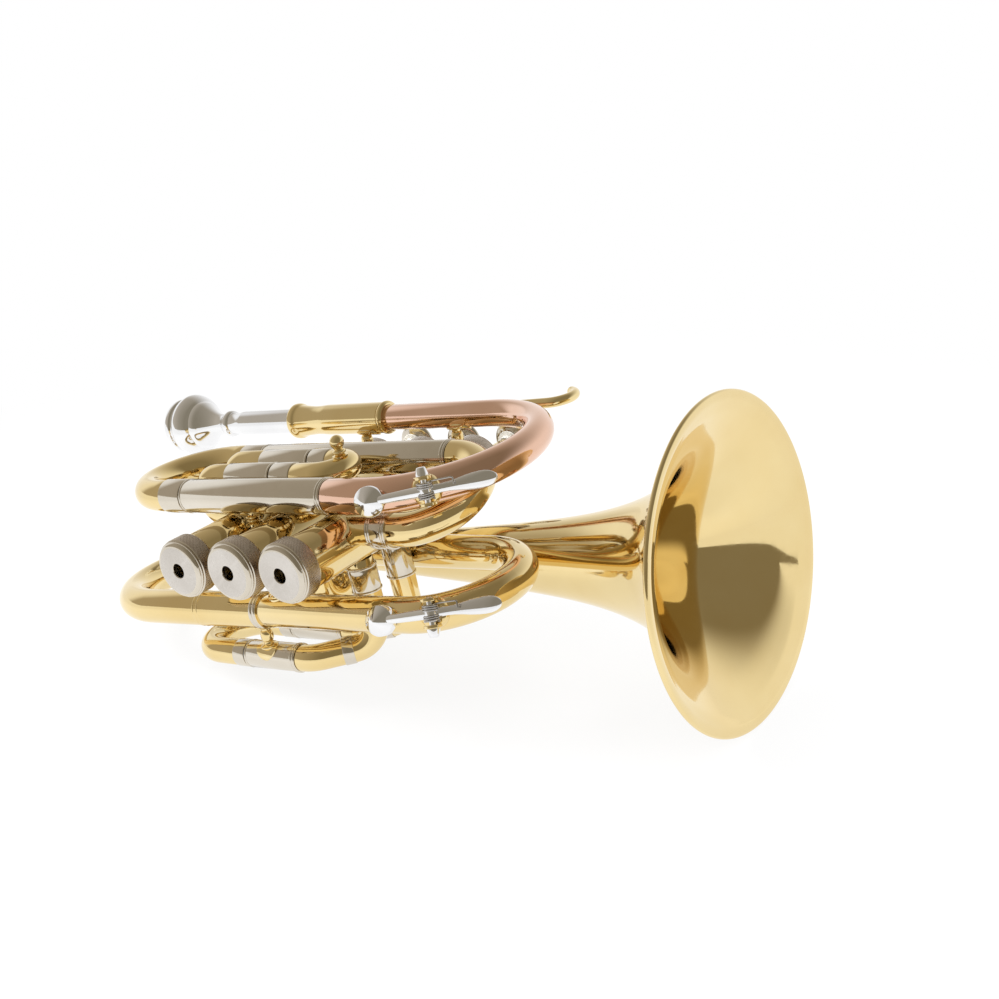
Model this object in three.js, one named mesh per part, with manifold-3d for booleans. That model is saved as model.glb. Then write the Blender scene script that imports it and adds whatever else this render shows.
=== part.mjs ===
// Pocket trumpet, lying on its left side.
// Instrument frame in millimetres: origin at the face of the middle bottom cap, +X toward the bell,
// +Y to the player's left, +Z along the valves to the finger buttons.

import * as THREE from "three";
import { mergeVertices } from "three/addons/utils/BufferGeometryUtils.js";
import Module from "manifold-3d";

const kernel = await Module();
kernel.setup();

// Driving dimensions
const seat_gap = 0.3;
const slide_clearance = 0.45;
const tube_wall = 0.55;

const valve_pitch = 24;
const casing_radius = 9.2;
const casing_wall = 0.8;
const casing_top = 107.5;
const casing_floor_gap = 0.3;

const cap = {
  face_radius: 8.3,
  chamfer_radius: 9.7,
  bead_radius: 10.15,
  groove_radius: 9.75,
  barrel_radius: 10.4,
  shoulder_radius: 10,
  vent_radius: 1.9,
  floor: 1.7,
  chamfer_height: 1,
  bead_start: 1.25,
  bead_end: 1.95,
  barrel_start: 2.35,
  barrel_end: 8.1,
  height: 8.6,
};
const top_cap = {
  barrel_height: 7.2,
  shoulder_height: 7.9,
  collar_height: 10.4,
  collar_radius: 5.4,
  stem_bore: 3.2,
  floor: 6.2,
};
const piston = {
  radius: 8,
  base: 25,
  height: 52,
  windway_radius: 4.6,
  windway_heights: [14, 33],
};
const stem_radius = 2.6;
const stem_height = 50.8;
const button = {
  radius: 7.8,
  rim_radius: 8,
  height: 4.2,
  neck_radius: 3.6,
  dish_radius: 6.6,
  dish_depth: 1.3,
};
const pearl = { height: 1.6, edge_height: 1, top_radius: 5.4 };
const valve_spring = { radius: 6.4, wire: 0.5, curls: 6 };

const mouthpiece = {
  rim_x: -126.2,
  shank_end_x: -39.2,
  rim_radius: 10.2,
  rim_edge_radius: 9.2,
  bite_radius: 8.1,
  throat_radius: 1.9,
  exit_radius: 3.7,
  cup_depth: 11.5,
  cup_side_radius: 7.3,
  cup_side_depth: 3.9,
  cup_floor_radius: 4.1,
  cup_floor_depth: 8.2,
  rim_round: 1.6,
  body: [
    ["rim_back", 3.2, 10.1],
    ["rim_groove", 4.4, 9.6],
    ["shoulder_rise", 8.4, 11.6],
    ["shoulder", 10.8, 12.2],
    ["shoulder_back", 13.4, 11.3],
    ["cup_waist", 16.4, 7.2],
    ["bulge", 19.4, 7.6],
    ["bulge_back", 22, 6],
    ["neck", 28.4, 4.1],
    ["bead_rise", 33.8, 4.3],
    ["bead", 35.7, 5.3],
    ["bead_back", 37.6, 4.9],
    ["shank", 68, 4.85],
  ],
  shank_end_radius: 4.5,
};
const receiver = {
  mouth_x: -56.5,
  end_x: -7.8,
  mouth_radius: 7,
  lip_radius: 6.3,
  waist_radius: 5.7,
  body_radius: 5.95,
  ring_radius: 6.35,
  mouth_length: 3.4,
  waist_at: 11,
  body_at: 17,
  ring_length: 3.2,
  bore_radius: 5.25,
};
const lead_y = -20;
const lead_z = 102;
const leadpipe = {
  start_x: -14,
  start_radius: 4.85,
  end_radius: 6.1,
  bow_x: 40.8,
  joint_x: 25,
};

const tuning = {
  lower_y: -16.5,
  lower_z: 27.5,
  upper_y: -15.8,
  upper_z: 67.4,
  radius: 6.1,
  upper_radius: 5.75,
  rear_x: -40.4,
  lower_front_x: 24.7,
  upper_front_x: 46.6,
  ring_rise: 0.35,
  ring_length: 1.4,
  ferrule_length: 11.2,
  engagement: 34,
  bow_straight: 3.2,
};

const front_bow = {
  bend_x: 46.8,
  entry_y: -3,
  entry_z: 33,
  radius: 5.7,
  sleeve_x: 38,
  sleeve_length: 8.4,
  sleeve_radius: 6.6,
};

const valve_tube_radius = 4.95;
const crook_radius = 4.7;

const first = {
  axis_y: -18.8,
  lower_z: 40.6,
  upper_z: 54.8,
  lower_rear_x: -31.4,
  upper_rear_x: -25.4,
  lower_front_x: -10.6,
  upper_front_x: -4.4,
  lower_ferrule: 9.8,
  upper_ferrule: 8,
  bow_x: 8.6,
  knuckle_bend: 7,
  knuckle_reach: 8,
  engagement: 17,
  knob_neck: 1.5,
  knob_ball: 3.4,
  knob_height: 8.2,
};
const second = {
  lower_z: 38,
  upper_z: 52,
  end_y: 17,
  ferrule: 2,
  engagement: 7.2,
};
const third = {
  port_x: 24,
  lower_port_z: 36,
  upper_port_z: 54,
  run_y: 40,
  lower_z: 20.5,
  upper_z: 44.5,
  slope_end_x: 6,
  front_x: -0.6,
  rear_x: -23,
  ferrule: 6.1,
  bow_x: -38.8,
  bend: 9,
  slope_bend: 16,
  engagement: 19,
};

const loop = {
  upper_y: 18.3,
  upper_z: 65.6,
  radius: 5.95,
  lower_radius: 6.25,
  start_x: -27,
  elbow_bend: 9,
  front_x: 79.4,
  front_y: 19.3,
  front_z: 18.3,
  rear_x: -99.3,
  rear_y: 24.8,
  rear_z: 20,
  joint_x: -9,
};
const bell = {
  y: 26.9,
  z: 83,
  stem_x: -30,
  stem_radius: 6.9,
  rim_x: 139,
  rim_radius: 55.2,
  wall: 0.9,
  bead: 1.3,
};
const bell_flare_shares = [
  [0.18, 0.145],
  [0.36, 0.182],
  [0.52, 0.222],
  [0.66, 0.274],
  [0.76, 0.34],
  [0.84, 0.431],
  [0.9, 0.545],
  [0.95, 0.702],
  [0.983, 0.87],
];

const brace = { pad_radius: 3.4, pad_height: 1, post_radius: 1.5, ball_radius: 2.3 };
const lead_brace_z = 97.5;
const receiver_brace_x = -18;
const leadpipe_brace_x = 26;
const ball_post_x = -12;
const bell_brace_z = 80;
const loop_brace_x = 0;
const third_brace_x = -12;

const hook = {
  start_x: 34,
  reach_x: 58,
  rod_radius: 1.9,
  curl_radius: 7,
  rise: 2.5,
  curl_turn: THREE.MathUtils.degToRad(150),
};

const water_key = {
  cup_radius: 4.7,
  cup_height: 3.6,
  cup_tip: 1.2,
  cup_reach: 19,
  tip_reach: 23,
  bar_height: 1.6,
  bar_width: 2.8,
  spoon_width: 6.4,
  barrel_radius: 2.1,
  barrel_width: 5.2,
  pin_radius: 0.9,
  saddle_width: 9.6,
  saddle_radius: 5.2,
  cheek: 1.2,
  lift: 3.6,
  cork_height: 1.2,
};
const upper_key = {
  angle: THREE.MathUtils.degToRad(36),
  slope: THREE.MathUtils.degToRad(23),
  roll: THREE.MathUtils.degToRad(12),
  seat: 3.15,
};
const lower_key = {
  angle: THREE.MathUtils.degToRad(28),
  slope: THREE.MathUtils.degToRad(12),
  roll: THREE.MathUtils.degToRad(20),
  seat: 4.2,
};
const spoon_bend = THREE.MathUtils.degToRad(13);

// The rear of the instrument drops until the third slide and the bell rim both touch the table.
const lying_tilt = THREE.MathUtils.degToRad(9.4);

// Round sections
const tube_sides = 12;
const bore_sides = 8;
const turned_sides = 18;
const bell_sides = 32;
const small_sides = 10;
const bend_step = THREE.MathUtils.degToRad(26);
const curl_steps = 8;
const wire_sides = 5;

const forward = new THREE.Vector3(1, 0, 0);
const backward = new THREE.Vector3(-1, 0, 0);
const left = new THREE.Vector3(0, 1, 0);
const right = new THREE.Vector3(0, -1, 0);
const up = new THREE.Vector3(0, 0, 1);

const point = (x, y, z) => new THREE.Vector3(x, y, z);

// Finishes
const finish = (color, roughness, metalness = 1) => () =>
  new THREE.MeshStandardMaterial({ color, roughness, metalness });
const yellow_brass = finish(0xd8ab45, 0.16);
const rose_brass = finish(0xcf8a6a, 0.18);
const nickel_silver = finish(0xb9b1a0, 0.22);
const silver_plate = finish(0xd9dadb, 0.12);
const spring_steel = finish(0x8c8c8c, 0.35);
const pearl_disc = finish(0xf0ece2, 0.25, 0);

// A piece's surface as one solid of welded points, and back again.
function solidOf(geometry) {
  geometry.deleteAttribute("normal");
  geometry.deleteAttribute("uv");
  const welded = mergeVertices(geometry);
  const corners = welded.index.array;
  const faces = [];
  for (let i = 0; i < corners.length; i += 3) {
    const [a, b, c] = [corners[i], corners[i + 1], corners[i + 2]];
    if (a !== b && b !== c && c !== a) {
      faces.push(a, b, c);
    }
  }
  const spots = welded.attributes.position;
  const [a, b, c] = [point(), point(), point()];
  let volume = 0;
  for (let i = 0; i < faces.length; i += 3) {
    a.fromBufferAttribute(spots, faces[i]);
    b.fromBufferAttribute(spots, faces[i + 1]);
    c.fromBufferAttribute(spots, faces[i + 2]);
    volume += a.dot(b.cross(c));
  }
  if (volume < 0) {
    faces.reverse();
  }
  return new kernel.Manifold(
    new kernel.Mesh({
      numProp: 3,
      vertProperties: Float32Array.from(spots.array),
      triVerts: Uint32Array.from(faces),
    }),
  );
}

function surfaceOf(solid) {
  const mesh = solid.getMesh();
  const geometry = new THREE.BufferGeometry();
  geometry.setAttribute("position", new THREE.BufferAttribute(Float32Array.from(mesh.vertProperties), 3));
  geometry.setIndex(new THREE.BufferAttribute(Uint32Array.from(mesh.triVerts), 1));
  geometry.computeVertexNormals();
  return geometry;
}

// A piece hangs on its own point, so its mesh is placed and its surface is written about that point.
function addPiece(group, name, material, solid, spot) {
  const geometry = surfaceOf(solid).translate(-spot.x, -spot.y, -spot.z);
  const mesh = new THREE.Mesh(geometry, material());
  mesh.name = name;
  mesh.position.copy(spot);
  group.add(mesh);
}

// A turned body: outline of [radius, distance along the axis], which closes on itself.
function turned(outline, start, axis, sides = turned_sides) {
  const points = outline.map(([radius, along]) => new THREE.Vector2(radius, along));
  points.push(points[0].clone());
  const geometry = new THREE.LatheGeometry(points, sides);
  geometry.applyQuaternion(new THREE.Quaternion().setFromUnitVectors(left, axis));
  geometry.translate(start.x, start.y, start.z);
  return solidOf(geometry);
}

function rod(start, axis, radius, length, sides = turned_sides) {
  return turned([[0, 0], [radius, 0], [radius, length], [0, length]], start, axis, sides);
}

// The run of a tube as it is bent at the bench: lengths ahead, bends toward a side, and new widths.
class Run extends THREE.Curve {
  constructor(start, heading, radius) {
    super();
    this.stations = [];
    this.heading = heading.clone().normalize();
    this.spot = start.clone();
    this.radius = radius;
    this.mark();
  }

  mark() {
    this.stations.push({ spot: this.spot.clone(), heading: this.heading.clone(), radius: this.radius });
    return this;
  }

  ahead(length) {
    this.spot.addScaledVector(this.heading, length);
    return this.mark();
  }

  taper(length, radius) {
    this.radius = radius;
    return this.ahead(length);
  }

  widen(radius) {
    return this.taper(seat_gap, radius);
  }

  bend(side, angle, bend_radius, end_radius = this.radius) {
    const heading = this.heading.clone();
    const toward = side.clone().addScaledVector(heading, -side.dot(heading)).normalize();
    const centre = this.spot.clone().addScaledVector(toward, bend_radius);
    const steps = Math.ceil(angle / bend_step);
    const start_radius = this.radius;
    for (let i = 1; i <= steps; i += 1) {
      const turn = (angle * i) / steps;
      this.spot
        .copy(centre)
        .addScaledVector(toward, -bend_radius * Math.cos(turn))
        .addScaledVector(heading, bend_radius * Math.sin(turn));
      this.heading
        .copy(heading)
        .multiplyScalar(Math.cos(turn))
        .addScaledVector(toward, Math.sin(turn));
      this.radius = THREE.MathUtils.lerp(start_radius, end_radius, i / steps);
      this.mark();
    }
    return this;
  }

  // A half turn onto a leg that runs back through the given point of its axis.
  returnTo(leg) {
    const offset = leg.clone().sub(this.spot);
    offset.addScaledVector(this.heading, -offset.dot(this.heading));
    return this.bend(offset, Math.PI, offset.length() / 2);
  }

  getPointAt(share, target = point()) {
    return target.copy(this.stations[Math.round(share * (this.stations.length - 1))].spot);
  }

  getPoint(share, target) {
    return this.getPointAt(share, target);
  }

  getTangentAt(share, target = point()) {
    return target.copy(this.stations[Math.round(share * (this.stations.length - 1))].heading);
  }

  stationNear(spot) {
    return this.stations.reduce((best, station) =>
      station.spot.distanceToSquared(spot) < best.spot.distanceToSquared(spot) ? station : best,
    );
  }
}

// A run from corner to corner, each corner rounded to its bend radius.
function runThrough(corners, bends, radius) {
  const headings = corners.slice(1).map((corner, i) => corner.clone().sub(corners[i]));
  const lengths = headings.map((heading) => heading.length());
  headings.forEach((heading) => heading.normalize());
  const setbacks = bends.map((bend, i) => bend * Math.tan(headings[i].angleTo(headings[i + 1]) / 2));
  const run = new Run(corners[0], headings[0], radius);
  headings.forEach((heading, i) => {
    run.ahead(lengths[i] - (setbacks[i - 1] ?? 0) - (setbacks[i] ?? 0));
    if (i < bends.length) {
      run.bend(headings[i + 1], heading.angleTo(headings[i + 1]), bends[i]);
      run.heading.copy(headings[i + 1]);
    }
  });
  return run;
}

function ringOfPoints(radius, sides) {
  return Array.from({ length: sides }, (_, i) => {
    const turn = (2 * Math.PI * i) / sides;
    return new THREE.Vector2(radius * Math.cos(turn), radius * Math.sin(turn));
  });
}

// A tube along a run, with the run's widths outside and one bore inside; no bore makes it a rod.
function pipe(run, bore, sides = tube_sides, hole_sides = bore_sides) {
  const widest = Math.max(...run.stations.map((station) => station.radius));
  const section = new THREE.Shape(ringOfPoints(widest, sides));
  if (bore > 0) {
    section.holes.push(new THREE.Path(ringOfPoints(bore, hole_sides)));
  }
  const geometry = new THREE.ExtrudeGeometry(section, {
    steps: run.stations.length - 1,
    bevelEnabled: false,
    extrudePath: run,
  });
  const spots = geometry.attributes.position;
  const spot = point();
  const outer_from = bore > 0 ? (bore + widest) / 2 : widest / 2;
  for (let i = 0; i < spots.count; i += 1) {
    spot.fromBufferAttribute(spots, i);
    const station = run.stationNear(spot);
    const offset = spot.clone().sub(station.spot);
    if (offset.length() > outer_from) {
      spot.copy(station.spot).addScaledVector(offset, station.radius / widest);
      spots.setXYZ(i, spot.x, spot.y, spot.z);
    }
  }
  return solidOf(geometry);
}

// A coil spring: one unbroken wire whose turns come from its pitch.
function coil(start, axis, coil_radius, wire, curls, length) {
  const steps = curls * curl_steps;
  const side = Math.abs(axis.z) > Math.SQRT1_2 ? forward : up;
  const across = side.clone().addScaledVector(axis, -side.dot(axis)).normalize();
  const over = axis.clone().cross(across);
  const run = new Run(start, axis, wire);
  run.stations = [];
  for (let i = 0; i <= steps; i += 1) {
    const turn = (2 * Math.PI * i) / curl_steps;
    run.spot
      .copy(start)
      .addScaledVector(axis, (length * i) / steps)
      .addScaledVector(across, coil_radius * Math.cos(turn))
      .addScaledVector(over, coil_radius * Math.sin(turn));
    run.heading
      .copy(axis)
      .multiplyScalar(length / curls)
      .addScaledVector(across, -2 * Math.PI * coil_radius * Math.sin(turn))
      .addScaledVector(over, 2 * Math.PI * coil_radius * Math.cos(turn))
      .normalize();
    run.mark();
  }
  return { solid: pipe(run, 0, wire_sides), gap: leastGap(run, wire) };
}

// The least clear space between one curl and the next ones, measured on the wire's points.
function leastGap(run, wire) {
  let least = Infinity;
  run.stations.forEach((station, i) => {
    run.stations.slice(i + curl_steps / 2 + 1).forEach((other) => {
      least = Math.min(least, station.spot.distanceTo(other.spot));
    });
  });
  return least - 2 * wire;
}

// Valves
const valve_names = ["1", "2", "3"];
const valve_x = [-valve_pitch, 0, valve_pitch];
const casing_bore = casing_radius - casing_wall;
const cap_bore = casing_radius + slide_clearance;
const casing_floor = cap.floor + casing_floor_gap;
const top_cap_floor = casing_top + seat_gap;
const top_cap_base = top_cap_floor - top_cap.floor;
const stem_base = piston.base + piston.height + seat_gap;
const button_base = stem_base + stem_height + seat_gap;

function casing(spot) {
  const outline = [
    [casing_bore, casing_floor],
    [casing_radius, casing_floor],
    [casing_radius, casing_top],
    [casing_bore, casing_top],
  ];
  return turned(outline, spot, up);
}

function bottomCap(spot) {
  const outline = [
    [cap.vent_radius, 0],
    [cap.face_radius, 0],
    [cap.chamfer_radius, cap.chamfer_height],
    [cap.bead_radius, cap.bead_start],
    [cap.bead_radius, cap.bead_end],
    [cap.groove_radius, (cap.bead_end + cap.barrel_start) / 2],
    [cap.barrel_radius, cap.barrel_start],
    [cap.barrel_radius, cap.barrel_end],
    [cap.shoulder_radius, cap.height],
    [cap_bore, cap.height],
    [cap_bore, cap.floor],
    [cap.vent_radius, cap.floor],
  ];
  return turned(outline, spot, up);
}

function topCap(spot) {
  const outline = [
    [cap_bore, 0],
    [cap.barrel_radius, 0],
    [cap.barrel_radius, top_cap.barrel_height],
    [cap.face_radius, top_cap.shoulder_height],
    [top_cap.collar_radius, top_cap.collar_height],
    [top_cap.stem_bore, top_cap.collar_height],
    [top_cap.stem_bore, top_cap.floor],
    [cap_bore, top_cap.floor],
  ];
  return turned(outline, spot.clone().setZ(top_cap_base), up);
}

function pistonBody(spot) {
  const base = spot.clone().setZ(piston.base);
  return piston.windway_heights.reduce((body, height) => {
    const start = base.clone().addScaledVector(up, height).addScaledVector(forward, -casing_radius);
    return body.subtract(rod(start, forward, piston.windway_radius, 2 * casing_radius, small_sides));
  }, rod(base, up, piston.radius, piston.height));
}

function buttonBody(spot) {
  const dish_floor = button.height - button.dish_depth;
  const outline = [
    [0, 0],
    [button.neck_radius, 0],
    [button.radius, button.height / 2],
    [button.rim_radius, dish_floor],
    [button.radius, button.height],
    [button.dish_radius, button.height],
    [button.dish_radius, dish_floor],
    [0, dish_floor],
  ];
  return turned(outline, spot.clone().setZ(button_base), up);
}

function pearlDisc(spot) {
  const outline = [
    [0, 0],
    [button.dish_radius - seat_gap, 0],
    [button.dish_radius - seat_gap, pearl.edge_height],
    [pearl.top_radius, pearl.height],
    [0, pearl.height],
  ];
  return turned(outline, spot, up);
}

function makeValves() {
  const valves = new THREE.Group();
  valves.name = "valve_block";
  valve_names.forEach((number, i) => {
    const spot = point(valve_x[i], 0, 0);
    const group = new THREE.Group();
    group.name = `valve_${number}`;
    group.position.copy(spot);
    const centre = point(0, 0, 0);
    const seat = (height) => point(0, 0, height);
    addPiece(group, `casing_${number}`, yellow_brass, casing(centre), seat(casing_floor));
    addPiece(group, `bottom_cap_${number}`, nickel_silver, bottomCap(centre), centre);
    addPiece(group, `top_cap_${number}`, nickel_silver, topCap(centre), seat(top_cap_base));
    addPiece(group, `piston_${number}`, nickel_silver, pistonBody(centre), seat(piston.base));
    const stem = rod(seat(stem_base), up, stem_radius, stem_height, small_sides);
    addPiece(group, `stem_${number}`, yellow_brass, stem, seat(stem_base));
    addPiece(group, `button_${number}`, nickel_silver, buttonBody(centre), seat(button_base));
    const pearl_seat = seat(button_base + button.height - button.dish_depth + seat_gap);
    addPiece(group, `pearl_${number}`, pearl_disc, pearlDisc(pearl_seat), pearl_seat);
    const wire = valve_spring.wire;
    const spring_base = cap.floor + seat_gap + wire;
    const spring_length = piston.base - seat_gap - wire - spring_base;
    const spring = coil(seat(spring_base), up, valve_spring.radius, wire, valve_spring.curls, spring_length);
    console.log(`valve spring ${number} least gap ${spring.gap.toFixed(2)} mm`);
    addPiece(group, `valve_spring_${number}`, spring_steel, spring.solid, seat(spring_base));
    valves.add(group);
  });
  return valves;
}

// Space around the casings that soldered tubes and braces stop short of.
const casing_space = valve_x.map((x) =>
  rod(point(x, 0, 0), up, (casing_radius + seat_gap) / Math.cos(Math.PI / turned_sides), casing_top),
);

function trimmedToCasings(solid) {
  return casing_space.reduce((rest, space) => rest.subtract(space), solid);
}

// Straight outer tube of a slide, with a ring at its far end.
function outerTube(start, axis, radius, length) {
  const plain = length - tuning.ring_length - seat_gap;
  const run = new Run(start, axis, radius).ahead(plain).widen(radius + tuning.ring_rise);
  return pipe(run.ahead(tuning.ring_length), radius - tube_wall, tube_sides, tube_sides);
}

// A slide: leg, ferrule, bow, ferrule, leg in one soldered piece.
function slideBody(size) {
  const leg = size.radius - tube_wall - slide_clearance;
  const bow = size.bow_radius ?? size.radius;
  const run = new Run(size.start.clone().addScaledVector(size.heading, -size.engagement), size.heading, leg);
  run.ahead(size.engagement + seat_gap).widen(size.radius).ahead(size.ferrule - 2 * seat_gap).widen(bow);
  run.ahead(size.straight);
  run.returnTo(size.back);
  run.ahead(size.back_straight).widen(size.back_radius ?? size.radius);
  run.ahead(size.back_ferrule - 2 * seat_gap);
  run.widen((size.back_radius ?? size.radius) - tube_wall - slide_clearance);
  run.ahead(size.engagement);
  return pipe(run, leg - tube_wall);
}

// Mouthpiece, receiver and leadpipe
function makeLead() {
  const group = new THREE.Group();
  group.name = "lead";
  const { rim_x, shank_end_x, bite_radius, throat_radius, cup_depth, rim_round } = mouthpiece;
  const length = shank_end_x - rim_x;
  const outline = [
    [bite_radius, rim_round],
    [(bite_radius + mouthpiece.rim_edge_radius) / 2, 0],
    [mouthpiece.rim_edge_radius, rim_round / 4],
    [mouthpiece.rim_radius, rim_round],
    ...mouthpiece.body.map(([, along, radius]) => [radius, along]),
    [mouthpiece.shank_end_radius, length],
    [mouthpiece.exit_radius, length],
    [throat_radius, cup_depth + rim_round],
    [mouthpiece.cup_floor_radius, mouthpiece.cup_floor_depth],
    [mouthpiece.cup_side_radius, mouthpiece.cup_side_depth],
  ];
  const rim = point(rim_x, lead_y, lead_z);
  addPiece(group, "mouthpiece", silver_plate, turned(outline, rim, forward), rim);

  const reach = receiver.end_x - receiver.mouth_x;
  const ring_from = reach - receiver.ring_length;
  const shell = [
    [receiver.bore_radius, 0],
    [receiver.lip_radius, 0],
    [receiver.mouth_radius, receiver.mouth_length / 3],
    [receiver.mouth_radius, (2 * receiver.mouth_length) / 3],
    [receiver.lip_radius, receiver.mouth_length],
    [receiver.waist_radius, receiver.waist_at],
    [receiver.body_radius, receiver.body_at],
    [receiver.body_radius, ring_from],
    [receiver.ring_radius, ring_from + seat_gap],
    [receiver.ring_radius, reach - seat_gap],
    [receiver.body_radius, reach],
    [receiver.bore_radius, reach],
  ];
  const mouth = point(receiver.mouth_x, lead_y, lead_z);
  addPiece(group, "receiver", yellow_brass, turned(shell, mouth, forward), mouth);

  const run = new Run(point(leadpipe.start_x, lead_y, lead_z), forward, leadpipe.start_radius);
  run.ahead(leadpipe.bow_x - leadpipe.start_x);
  const offset = point(0, tuning.lower_y - lead_y, tuning.lower_z - lead_z);
  run.bend(offset, Math.PI, offset.length() / 2, leadpipe.end_radius);
  run.ahead(leadpipe.bow_x - leadpipe.joint_x);
  addPiece(group, "leadpipe", rose_brass, pipe(run, leadpipe.start_radius - tube_wall), run.stations[0].spot);
  return group;
}

// Main tuning slide and the bow into valve 3
function makeTuning() {
  const group = new THREE.Group();
  group.name = "main_tuning_slide";
  const { rear_x, lower_front_x, upper_front_x, radius, upper_radius } = tuning;
  const lower_rear = point(rear_x, tuning.lower_y, tuning.lower_z);
  const upper_rear = point(rear_x, tuning.upper_y, tuning.upper_z);
  const lower = outerTube(lower_rear, forward, radius, lower_front_x - rear_x);
  addPiece(group, "tuning_outer_lower", nickel_silver, lower, lower_rear);
  const upper = outerTube(upper_rear, forward, upper_radius, upper_front_x - rear_x);
  addPiece(group, "tuning_outer_upper", nickel_silver, upper, upper_rear);

  const crook = slideBody({
    start: lower_rear,
    heading: backward,
    radius: upper_radius,
    bow_radius: upper_radius,
    engagement: tuning.engagement,
    ferrule: tuning.ferrule_length,
    straight: tuning.bow_straight,
    back: upper_rear,
    back_straight: tuning.bow_straight,
    back_ferrule: tuning.ferrule_length,
  });
  addPiece(group, "tuning_slide", yellow_brass, crook, lower_rear);

  const start = point(upper_front_x + seat_gap, tuning.upper_y, tuning.upper_z);
  const run = new Run(start, forward, front_bow.radius);
  run.ahead(front_bow.bend_x - start.x);
  run.returnTo(point(start.x, front_bow.entry_y, front_bow.entry_z));
  run.ahead(front_bow.bend_x - valve_pitch);
  const bow = trimmedToCasings(pipe(run, front_bow.radius - tube_wall));
  addPiece(group, "front_bow", yellow_brass, bow, start);

  const sleeve_start = point(front_bow.sleeve_x, front_bow.entry_y, front_bow.entry_z);
  const sleeve_bore = front_bow.radius + slide_clearance;
  const sleeve = new Run(sleeve_start, forward, front_bow.sleeve_radius).ahead(front_bow.sleeve_length);
  const sleeve_tube = trimmedToCasings(pipe(sleeve, sleeve_bore, tube_sides, tube_sides));
  addPiece(group, "front_bow_sleeve", nickel_silver, sleeve_tube, sleeve_start);
  return group;
}

// First valve slide, on the player's right
function makeFirstSlide() {
  const group = new THREE.Group();
  group.name = "first_valve_slide";
  const rows = [
    ["lower", first.lower_z, first.lower_rear_x, first.lower_front_x],
    ["upper", first.upper_z, first.upper_rear_x, first.upper_front_x],
  ];
  rows.forEach(([name, z, rear_x, front_x]) => {
    const rear = point(rear_x, first.axis_y, z);
    const tube = outerTube(rear, forward, valve_tube_radius, front_x - rear_x);
    addPiece(group, `first_outer_${name}`, nickel_silver, tube, rear);
    const bend_x = first.lower_rear_x - first.knuckle_reach;
    const joint = point(rear_x - seat_gap, first.axis_y, z);
    const run = new Run(joint, backward, crook_radius);
    run.ahead(joint.x - bend_x).bend(left, Math.PI, first.knuckle_bend).ahead(-valve_pitch - bend_x);
    const knuckle = trimmedToCasings(pipe(run, crook_radius - tube_wall));
    addPiece(group, `first_knuckle_${name}`, yellow_brass, knuckle, joint);
  });

  const lower_front = point(first.lower_front_x, first.axis_y, first.lower_z);
  const upper_front = point(first.upper_front_x, first.axis_y, first.upper_z);
  const crook = slideBody({
    start: lower_front,
    heading: forward,
    radius: valve_tube_radius,
    bow_radius: crook_radius,
    engagement: first.engagement,
    ferrule: first.lower_ferrule,
    straight: first.bow_x - first.lower_front_x - first.lower_ferrule - seat_gap,
    back: upper_front,
    back_straight: first.bow_x - first.upper_front_x - first.upper_ferrule - seat_gap,
    back_ferrule: first.upper_ferrule,
  });
  addPiece(group, "first_slide", yellow_brass, crook, lower_front);

  const knob_x = first.bow_x + (first.upper_z - first.lower_z) / 2;
  const knob_start = point(knob_x, first.axis_y - crook_radius - seat_gap, (first.lower_z + first.upper_z) / 2);
  const { knob_neck, knob_ball, knob_height } = first;
  const outline = [
    [0, 0],
    [knob_ball * Math.SQRT1_2, 0],
    [knob_neck, knob_height / 5],
    [knob_ball * Math.SQRT1_2, (2 * knob_height) / 5],
    [knob_ball * Math.SQRT1_2, knob_height / 2],
    [knob_neck, (3 * knob_height) / 5],
    [knob_ball, (4 * knob_height) / 5],
    [knob_ball * Math.SQRT1_2, knob_height],
    [0, knob_height],
  ];
  addPiece(group, "first_pull_knob", yellow_brass, turned(outline, knob_start, right, small_sides), knob_start);
  return group;
}

// Second valve slide, short, to the player's left
function makeSecondSlide() {
  const group = new THREE.Group();
  group.name = "second_valve_slide";
  const length = second.end_y - casing_radius / 2;
  [["lower", second.lower_z], ["upper", second.upper_z]].forEach(([name, z]) => {
    const end = point(0, second.end_y, z);
    const tube = trimmedToCasings(outerTube(end, right, valve_tube_radius, length));
    addPiece(group, `second_outer_${name}`, nickel_silver, tube, end);
  });
  const end = point(0, second.end_y, second.lower_z);
  const crook = slideBody({
    start: end,
    heading: left,
    radius: valve_tube_radius,
    bow_radius: crook_radius,
    engagement: second.engagement,
    ferrule: second.ferrule,
    straight: seat_gap,
    back: point(0, second.end_y, second.upper_z),
    back_straight: seat_gap,
    back_ferrule: second.ferrule,
  });
  addPiece(group, "second_slide", yellow_brass, crook, end);
  return group;
}

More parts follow.
